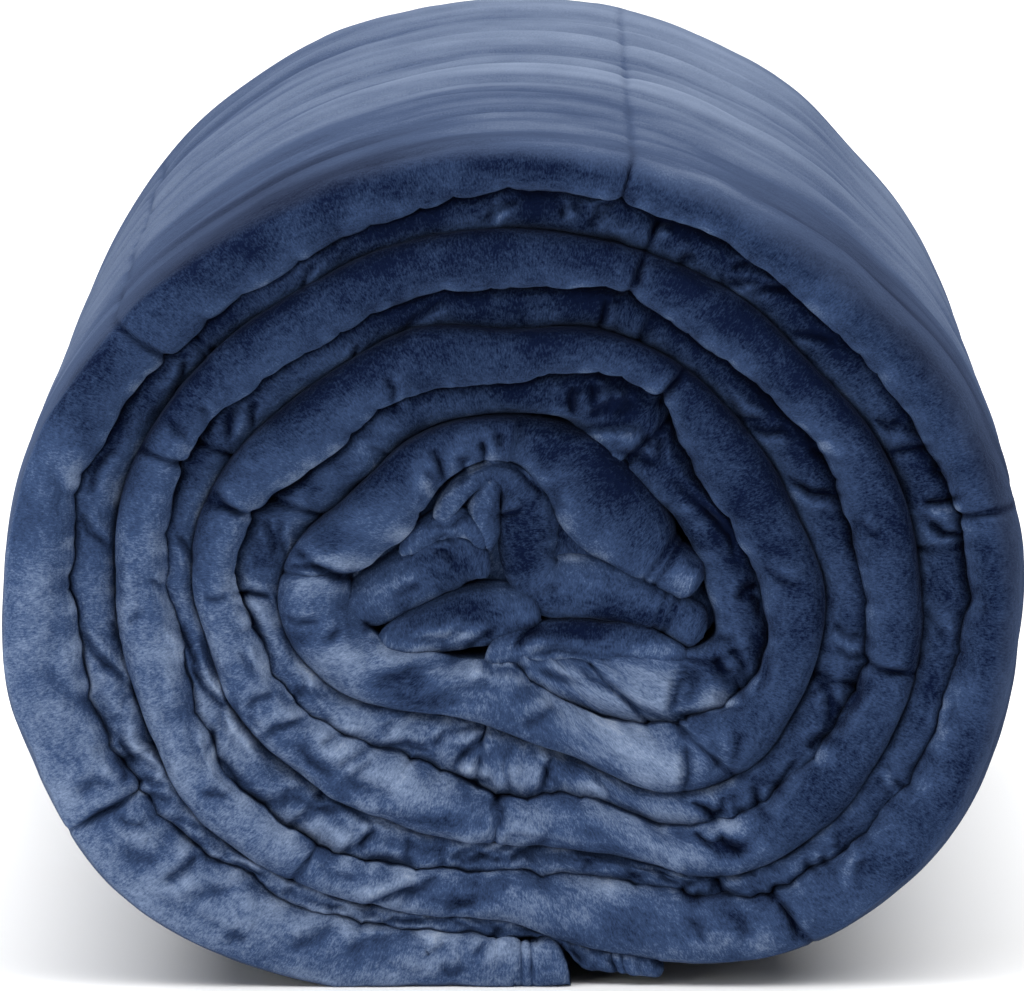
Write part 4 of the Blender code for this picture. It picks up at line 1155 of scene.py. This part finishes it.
def nap_light_and_shade(sizes, places, shape, run):
    """Tone at each place, and how far the place is on folded cloth, from 0 to 1. The tone is the nap's own
    patches with painted light: on the folded edge painted sheen at the lower left and painted shade at the
    upper right, painted shade between rims, and painted highlights on puckers and on the sides of folds that
    face the middle."""
    up = (places[:, 2] - sizes.axis_height / MM) / sizes.squash
    angle = np.arctan2(-places[:, 0], -up)
    radius = np.hypot(places[:, 0], up)
    # Painted sheen on the folded edge at the lower left and painted shade at the upper right, given as the
    # way the nap lies.
    palest_way = math.radians(40.0)
    turned = np.tanh(2.5 * (np.cos(angle - palest_way) - 0.4)) * ease(radius, 10, 70)
    turned = turned * np.where(turned > 0, PALE_SHEEN_TURN, DARK_SHADE_TURN)
    # Painted light and shade: above the axis the side of a fold that faces the middle is painted paler, and
    # the side facing out, under the turn above, darker.
    edge = 0.38 * (shape[:, 1] - 0.5) * np.clip(-np.cos(angle) * 1.5 + 0.3, 0.0, 1.0)
    # Painted highlights: pale puckers along the side of a fold that faces the middle.
    pucker = np.maximum(PUCKER_HIGHLIGHT_TONE * grain(run / 4.5, 0.5, sizes.seed + 19), -0.06)
    pucker = pucker * ease(shape[:, 1], 0.65, 1.0)
    # Painted shade deep in the crevice between two rims.
    sunk = 1 - ease(shape[:, 2], 0.0, 0.45)
    depth = places[:, 1] + sizes.length / MM / 2
    patches = nap_and_light_patches(places, depth) * (1 - ease(depth, 30, 60))
    folded = turned + edge + pucker + FOLDED_SHIFT + CREVICE_SHADE_TONE * sunk + patches
    laid = laid_tone_and_light(sizes, places, np.degrees(angle), run)
    # The outside's tone, partly painted light, gives way over its shoulder, which takes more of the rim where
    # it is deep.
    outside = (shape[:, 0] > 0) & (shape[:, 1] < 0.8)
    breadth = 0.10 + 0.65 * ease(curve_through(SHOULDER_ROWS, shape[:, 0]), 12, 36)
    share = np.where(outside, ease(shape[:, 1] / breadth, 0.0, 1.0), 1.0)
    return folded * share + laid * (1 - share), share


def settle(mesh, sizes, creases):
    """Gives a mesh its relief, its place round the origin and a nap tone for the plush, which also holds
    painted shade and painted highlights.
    """
    count = len(mesh.vertices)

    def read(source, key, size=3):
        values = np.empty(count * size, np.float32)
        source.foreach_get(key, values)
        return values.reshape(count, size).astype(float)

    places = read(mesh.vertices, "co")
    normals = read(mesh.vertex_normals, "vector")
    cloth = read(mesh.attributes["cloth"].data, "vector")
    shape = read(mesh.attributes["shape"].data, "vector")
    shade = read(mesh.attributes["shade"].data, "value", 1)[:, 0]
    outside = (shape[:, 0] > 0) & (shape[:, 1] < 0.02)
    move = rim_lumps(sizes, cloth, shape)
    move[outside] += outside_relief(sizes, cloth[outside, 0], shape[outside, 0], places[outside, 1])
    places += normals * move[:, None]
    pressed = press_creases(places, creases)
    swell_far_end(sizes, places)
    places[:, 2] = np.maximum(places[:, 2], 0.0)
    places[:, 1] -= sizes.length / MM / 2
    mesh.vertices.foreach_set("co", (places * MM).astype(np.float32).ravel())
    tone, folded = nap_light_and_shade(sizes, places, shape, cloth[:, 0])
    # Painted shade in pressed creases and sunken filling, and painted highlights on ridges and swelling
    # filling.
    relief = np.clip(CREASE_SHADE_RIDGE_LIGHT * pressed + LUMP_LIGHT_AND_SHADE * move, DEEPEST_RELIEF_SHADE, PALEST_RELIEF_LIGHT)
    nap = relief + tone + shade + PLAIN_TONE + FOLDED_TONE * ease(cloth[:, 2], -0.1, 0.3)
    nap = np.where(nap < DARK_NAP, DARK_NAP + 0.5 * (nap - DARK_NAP), nap)
    # The smooth outside turns into crumpled cloth over the rounded shoulder.
    cloth[:, 2] = cloth[:, 2] * folded - (1 - folded)
    mesh.attributes["cloth"].data.foreach_set("vector", cloth.astype(np.float32).ravel())
    # The nap tone holds the painted light and shade worked out above as well as the nap's own patches.
    layer = mesh.attributes.new("nap", "FLOAT", "POINT")
    layer.data.foreach_set("value", nap.astype(np.float32))
    mesh.update()


def new_cloth_bmesh():
    """A bmesh whose vertices also hold three values. Cloth is the distance along the cloth and across it
    in millimetres, and how crumpled it is, or -1 on the smooth outside of the roll. Shape is the outside's
    angle or 0, the share of the thickness and how far forward on the rim. Shade is a tone to add."""
    bm = bmesh.new()
    bm.verts.layers.float_vector.new("cloth")
    bm.verts.layers.float_vector.new("shape")
    bm.verts.layers.float.new("shade")
    return bm


def make_piece(context, name, strip, pleat_seed, inner=False, outside=False):
    sizes = context.scene.blanket_sizes
    bm = new_cloth_bmesh()
    strip_into(bm, sizes, strip, outside)
    creases = random_pleats(strip, sizes, sizes.seed + pleat_seed, inner) + placed_creases()
    bmesh.ops.recalc_face_normals(bm, faces=bm.faces)
    for face in bm.faces:
        face.smooth = True
    mesh = bpy.data.meshes.new(name)
    bm.to_mesh(mesh)
    bm.free()
    settle(mesh, sizes, creases)
    piece = bpy.data.objects.new(name, mesh)
    piece.data.materials.append(plush_material(context.scene.plush_colours))
    context.collection.objects.link(piece)
    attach(piece, "root")
    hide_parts("blanket_roll")


# ---------------------------------------------------------------- plush


def add_node(tree, kind, settings=None, **links):
    """Adds a node. settings are its properties, and links its inputs, each a socket or a value."""
    node = tree.nodes.new(kind)
    for key, value in (settings or {}).items():
        setattr(node, key, value)
    for key, value in links.items():
        socket = node.inputs[int(key[1:])] if key[0] == "i" and key[1:].isdigit() else node.inputs[key]
        if isinstance(value, bpy.types.NodeSocket):
            tree.links.new(value, socket)
        else:
            socket.default_value = value
    return node


def plush_material(colours):
    """Short-napped polyester plush, knitted and sheared. Its colour follows the nap tone: brushed patches,
    with painted shade where the nap is taken to point away, in creases and between rims, and painted
    highlights where it points at the eye, on ridges and on puckers. The soft sheen at grazing angles is the
    shader's own."""
    made = bpy.data.materials.get("sheared_plush")
    if made:
        return made
    made = bpy.data.materials.new("sheared_plush")
    made.use_nodes = True
    tree = made.node_tree
    shader = tree.nodes["Principled BSDF"]
    place = add_node(tree, "ShaderNodeAttribute", {"attribute_name": "cloth"}).outputs["Vector"]
    # The nap tone carries painted shade and painted highlights as well as the nap's own patches.
    nap = add_node(tree, "ShaderNodeAttribute", {"attribute_name": "nap"}).outputs["Fac"]
    crumple = add_node(tree, "ShaderNodeSeparateXYZ", Vector=place).outputs["Z"]
    plane = {"noise_dimensions": "2D"}
    multiply = {"operation": "MULTIPLY"}
    multiply_add = {"operation": "MULTIPLY_ADD"}
    flat = add_node(tree, "ShaderNodeVectorMath", multiply, i0=place, i1=(1.0, 1.0, 0.0)).outputs[0]
    # The pile is brushed in patches about 20 mm across, with softer mottling at 2 mm.
    wander = add_node(tree, "ShaderNodeTexNoise", plane, Vector=flat, Scale=0.12, Detail=1.0).outputs["Color"]
    bend = add_node(
        tree, "ShaderNodeVectorMath", multiply_add, i0=wander, i1=(4.0,) * 3, i2=(-2.0,) * 3
    ).outputs[0]
    warped = add_node(tree, "ShaderNodeVectorMath", {"operation": "ADD"}, i0=flat, i1=bend).outputs[0]
    patches = add_node(
        tree, "ShaderNodeTexNoise", plane, Vector=warped, Scale=0.05, Detail=3.0, Roughness=0.5
    ).outputs["Fac"]
    mottle = add_node(
        tree, "ShaderNodeTexNoise", plane, Vector=warped, Scale=0.45, Detail=3.0, Roughness=0.6
    ).outputs["Fac"]
    # Tufts of fibre are drawn 0.5 mm by 1.25 mm. Real ones are finer than the frame can show.
    tufts_at = add_node(tree, "ShaderNodeVectorMath", multiply, i0=flat, i1=(2.0, 0.8, 1.0)).outputs[0]
    tufts = add_node(
        tree, "ShaderNodeTexNoise", plane, Vector=tufts_at, Scale=1.0, Detail=3.0, Roughness=0.85
    ).outputs["Fac"]
    # Each noise, the crumple at which it is strongest, and its strength on the smooth outside and there.
    strengths = ((patches, 1.0, 0.20, 0.80), (mottle, 0.9, 0.06, 0.48), (tufts, 0.3, 0.30, 0.80))
    tone = nap
    for noise, crumpled, least, most in strengths:
        strength = add_node(
            tree, "ShaderNodeMapRange", i0=crumple, i1=-1.0, i2=crumpled, i3=least, i4=most
        ).outputs[0]
        centred = add_node(tree, "ShaderNodeMath", {"operation": "SUBTRACT"}, i0=noise, i1=0.5).outputs[0]
        tone = add_node(tree, "ShaderNodeMath", multiply_add, i0=centred, i1=strength, i2=tone).outputs[0]
    scaled = add_node(tree, "ShaderNodeMath", multiply, i0=tone, i1=0.75).outputs[0]
    ramp = add_node(tree, "ShaderNodeValToRGB", Fac=scaled)
    # Painted sheen: pile laid flat along the outside is greyed and dimmed a little, standing in for the
    # whitish sheen of the overhead softbox at grazing angles.
    sheen_grey = add_node(tree, "ShaderNodeMapRange", i0=crumple, i1=-1.0, i2=0.0, i3=0.84, i4=1.0).outputs[0]
    laid = add_node(tree, "ShaderNodeHueSaturation", Color=ramp.outputs["Color"], Saturation=sheen_grey, Value=sheen_grey)
    stops = ramp.color_ramp.elements
    stops[0].position = 0.06
    stops[0].color = colours.deep
    stops[1].position = 1.0
    stops[1].color = colours.lit
    for position, colour in ((0.435, colours.middle), (0.77, colours.brushed)):
        stop = stops.new(position)
        stop.color = colour
    tree.links.new(laid.outputs["Color"], shader.inputs["Base Color"])
    # The tufts stand up to 0.5 mm, and the mottled pile up to 1.8 mm.
    fine = add_node(tree, "ShaderNodeBump", Height=tufts, Strength=0.3, Distance=0.0005)
    soft = add_node(
        tree, "ShaderNodeBump", Height=mottle, Strength=0.35, Distance=0.0018, Normal=fine.outputs["Normal"]
    )
    tree.links.new(soft.outputs["Normal"], shader.inputs["Normal"])
    # Fibres scatter light every way, so there is no gloss, only a sheen at grazing angles.
    surface = {
        "Roughness": 0.8,
        "Metallic": 0.0,
        "Specular IOR Level": 0.0,
        "Sheen Weight": 0.15,
        "Sheen Roughness": 0.35,
        "Sheen Tint": linear("#7487b0"),
    }
    for key, value in surface.items():
        shader.inputs[key].default_value = value
    return made


def floor_material():
    """Matt white studio sheet."""
    made = bpy.data.materials.new("studio_sheet")
    made.use_nodes = True
    shader = made.node_tree.nodes["Principled BSDF"]
    shader.inputs["Base Color"].default_value = linear("#fafafa")
    shader.inputs["Roughness"].default_value = 0.9
    return made


# ---------------------------------------------------------------- operators


class BLANKET_OT_outer_half(bpy.types.Operator):
    """Winds the outer half of the folded blanket, with the quilted outside of the roll"""

    bl_idname = "blanket.outer_half"
    bl_label = "Outer half"

    def execute(self, context):
        strip = outer_half(context.scene.blanket_sizes)
        make_piece(context, "outer_half", strip, pleat_seed=21, outside=True)
        return {"FINISHED"}


class BLANKET_OT_inner_half(bpy.types.Operator):
    """Winds the inner half of the folded blanket, puckered and set a little back"""

    bl_idname = "blanket.inner_half"
    bl_label = "Inner half"

    def execute(self, context):
        strip = inner_half(context.scene.blanket_sizes)
        make_piece(context, "inner_half", strip, pleat_seed=22, inner=True)
        return {"FINISHED"}


class BLANKET_OT_core_folds(bpy.types.Operator):
    """Folds the inner half's spare length into the middle of the roll"""

    bl_idname = "blanket.core_folds"
    bl_label = "Core folds"

    def execute(self, context):
        for number, name in enumerate(CORE_RIBBONS):
            strip = core_ribbon(context.scene.blanket_sizes, name)
            make_piece(context, f"core_{name}", strip, pleat_seed=30 + number)
        return {"FINISHED"}


class BLANKET_OT_studio(bpy.types.Operator):
    """Lays a pale floor and sets soft lights and the camera"""

    bl_idname = "blanket.studio"
    bl_label = "Studio"

    def execute(self, context):
        studio = context.scene.blanket_studio
        lay_floor(context)
        add_camera(context, studio)
        add_lights(context, studio)
        context.scene.view_settings.view_transform = "Standard"
        return {"FINISHED"}


def lay_floor(context):
    """A pale sheet, far wider than the frame."""
    bm = bmesh.new()
    bmesh.ops.create_grid(bm, x_segments=8, y_segments=8, size=FLOOR_REACH)
    mesh = bpy.data.meshes.new("studio_floor")
    bm.to_mesh(mesh)
    bm.free()
    sheet = bpy.data.objects.new("studio_floor", mesh)
    sheet.data.materials.append(floor_material())
    context.collection.objects.link(sheet)


def add_camera(context, studio):
    """A long lens, a little above level, in front of the roll's end."""
    data = bpy.data.cameras.new("studio_camera")
    data.sensor_width = 36.0
    data.lens = data.sensor_width * studio.distance / studio.frame_width
    data.clip_end = 50.0
    camera = bpy.data.objects.new("studio_camera", data)
    context.collection.objects.link(camera)
    tilt = studio.elevation
    front = NODE_LOW[1]
    camera.location = (
        studio.aim_side,
        front - studio.distance * math.cos(tilt),
        studio.aim_height + studio.distance * math.sin(tilt),
    )
    camera.rotation_euler = (math.pi / 2 - tilt, 0.0, 0.0)
    context.scene.camera = camera


def add_light(context, name, power, size, place, aim):
    """A square soft light at a place, turned to face another."""
    data = bpy.data.lights.new(name, "AREA")
    data.shape = "SQUARE"
    data.size = size
    data.energy = power
    light = bpy.data.objects.new(name, data)
    context.collection.objects.link(light)
    light.location = place
    away = [a - b for a, b in zip(place, aim)]
    across = math.hypot(away[0], away[1])
    light.rotation_euler = (math.atan2(across, away[2]), 0.0, math.atan2(away[0], -away[1]))


def add_lights(context, studio):
    """A wide softbox overhead, a weak low light from the front left, and a white room."""
    add_light(
        context, "overhead_softbox", studio.key_power, size=9.0, place=(0.0, 0.7, 3.5), aim=(0.0, 0.7, 0.0)
    )
    add_light(
        context, "low_fill", studio.fill_power, size=1.0, place=(-1.3, -2.6, 0.3), aim=(0.0, -0.3, 0.08)
    )
    world = bpy.data.worlds.new("white_room")
    world.use_nodes = True
    background = world.node_tree.nodes["Background"]
    background.inputs["Color"].default_value = (1.0, 1.0, 1.0, 1.0)
    background.inputs["Strength"].default_value = studio.world_strength
    context.scene.world = world


class BLANKET_PT_panel(bpy.types.Panel):
    """Lists the blanket's pieces, its sizes and its colours"""

    bl_idname = "BLANKET_PT_panel"
    bl_label = "Rolled blanket"
    bl_space_type = "VIEW_3D"
    bl_region_type = "UI"
    bl_category = "Blanket"

    def draw(self, context):
        layout = self.layout
        for operator in OPERATORS:
            layout.operator(operator.bl_idname)
        for group in (context.scene.blanket_sizes, context.scene.plush_colours, context.scene.blanket_studio):
            for key in group.__annotations__:
                layout.prop(group, key)


OPERATORS = (BLANKET_OT_outer_half, BLANKET_OT_inner_half, BLANKET_OT_core_folds, BLANKET_OT_studio)
CLASSES = (BlanketSizes, PlushColours, StudioSizes, *OPERATORS, BLANKET_PT_panel)


def register():
    for item in CLASSES:
        bpy.utils.register_class(item)
    bpy.types.Scene.blanket_sizes = PointerProperty(type=BlanketSizes)
    bpy.types.Scene.plush_colours = PointerProperty(type=PlushColours)
    bpy.types.Scene.blanket_studio = PointerProperty(type=StudioSizes)


def unregister():
    del bpy.types.Scene.blanket_studio
    del bpy.types.Scene.plush_colours
    del bpy.types.Scene.blanket_sizes
    for item in reversed(CLASSES):
        bpy.utils.unregister_class(item)


def main():
    register()
    bpy.ops.blanket.outer_half()
    bpy.ops.blanket.inner_half()
    bpy.ops.blanket.core_folds()
    bpy.ops.blanket.studio()


if __name__ == "__main__":
    main()
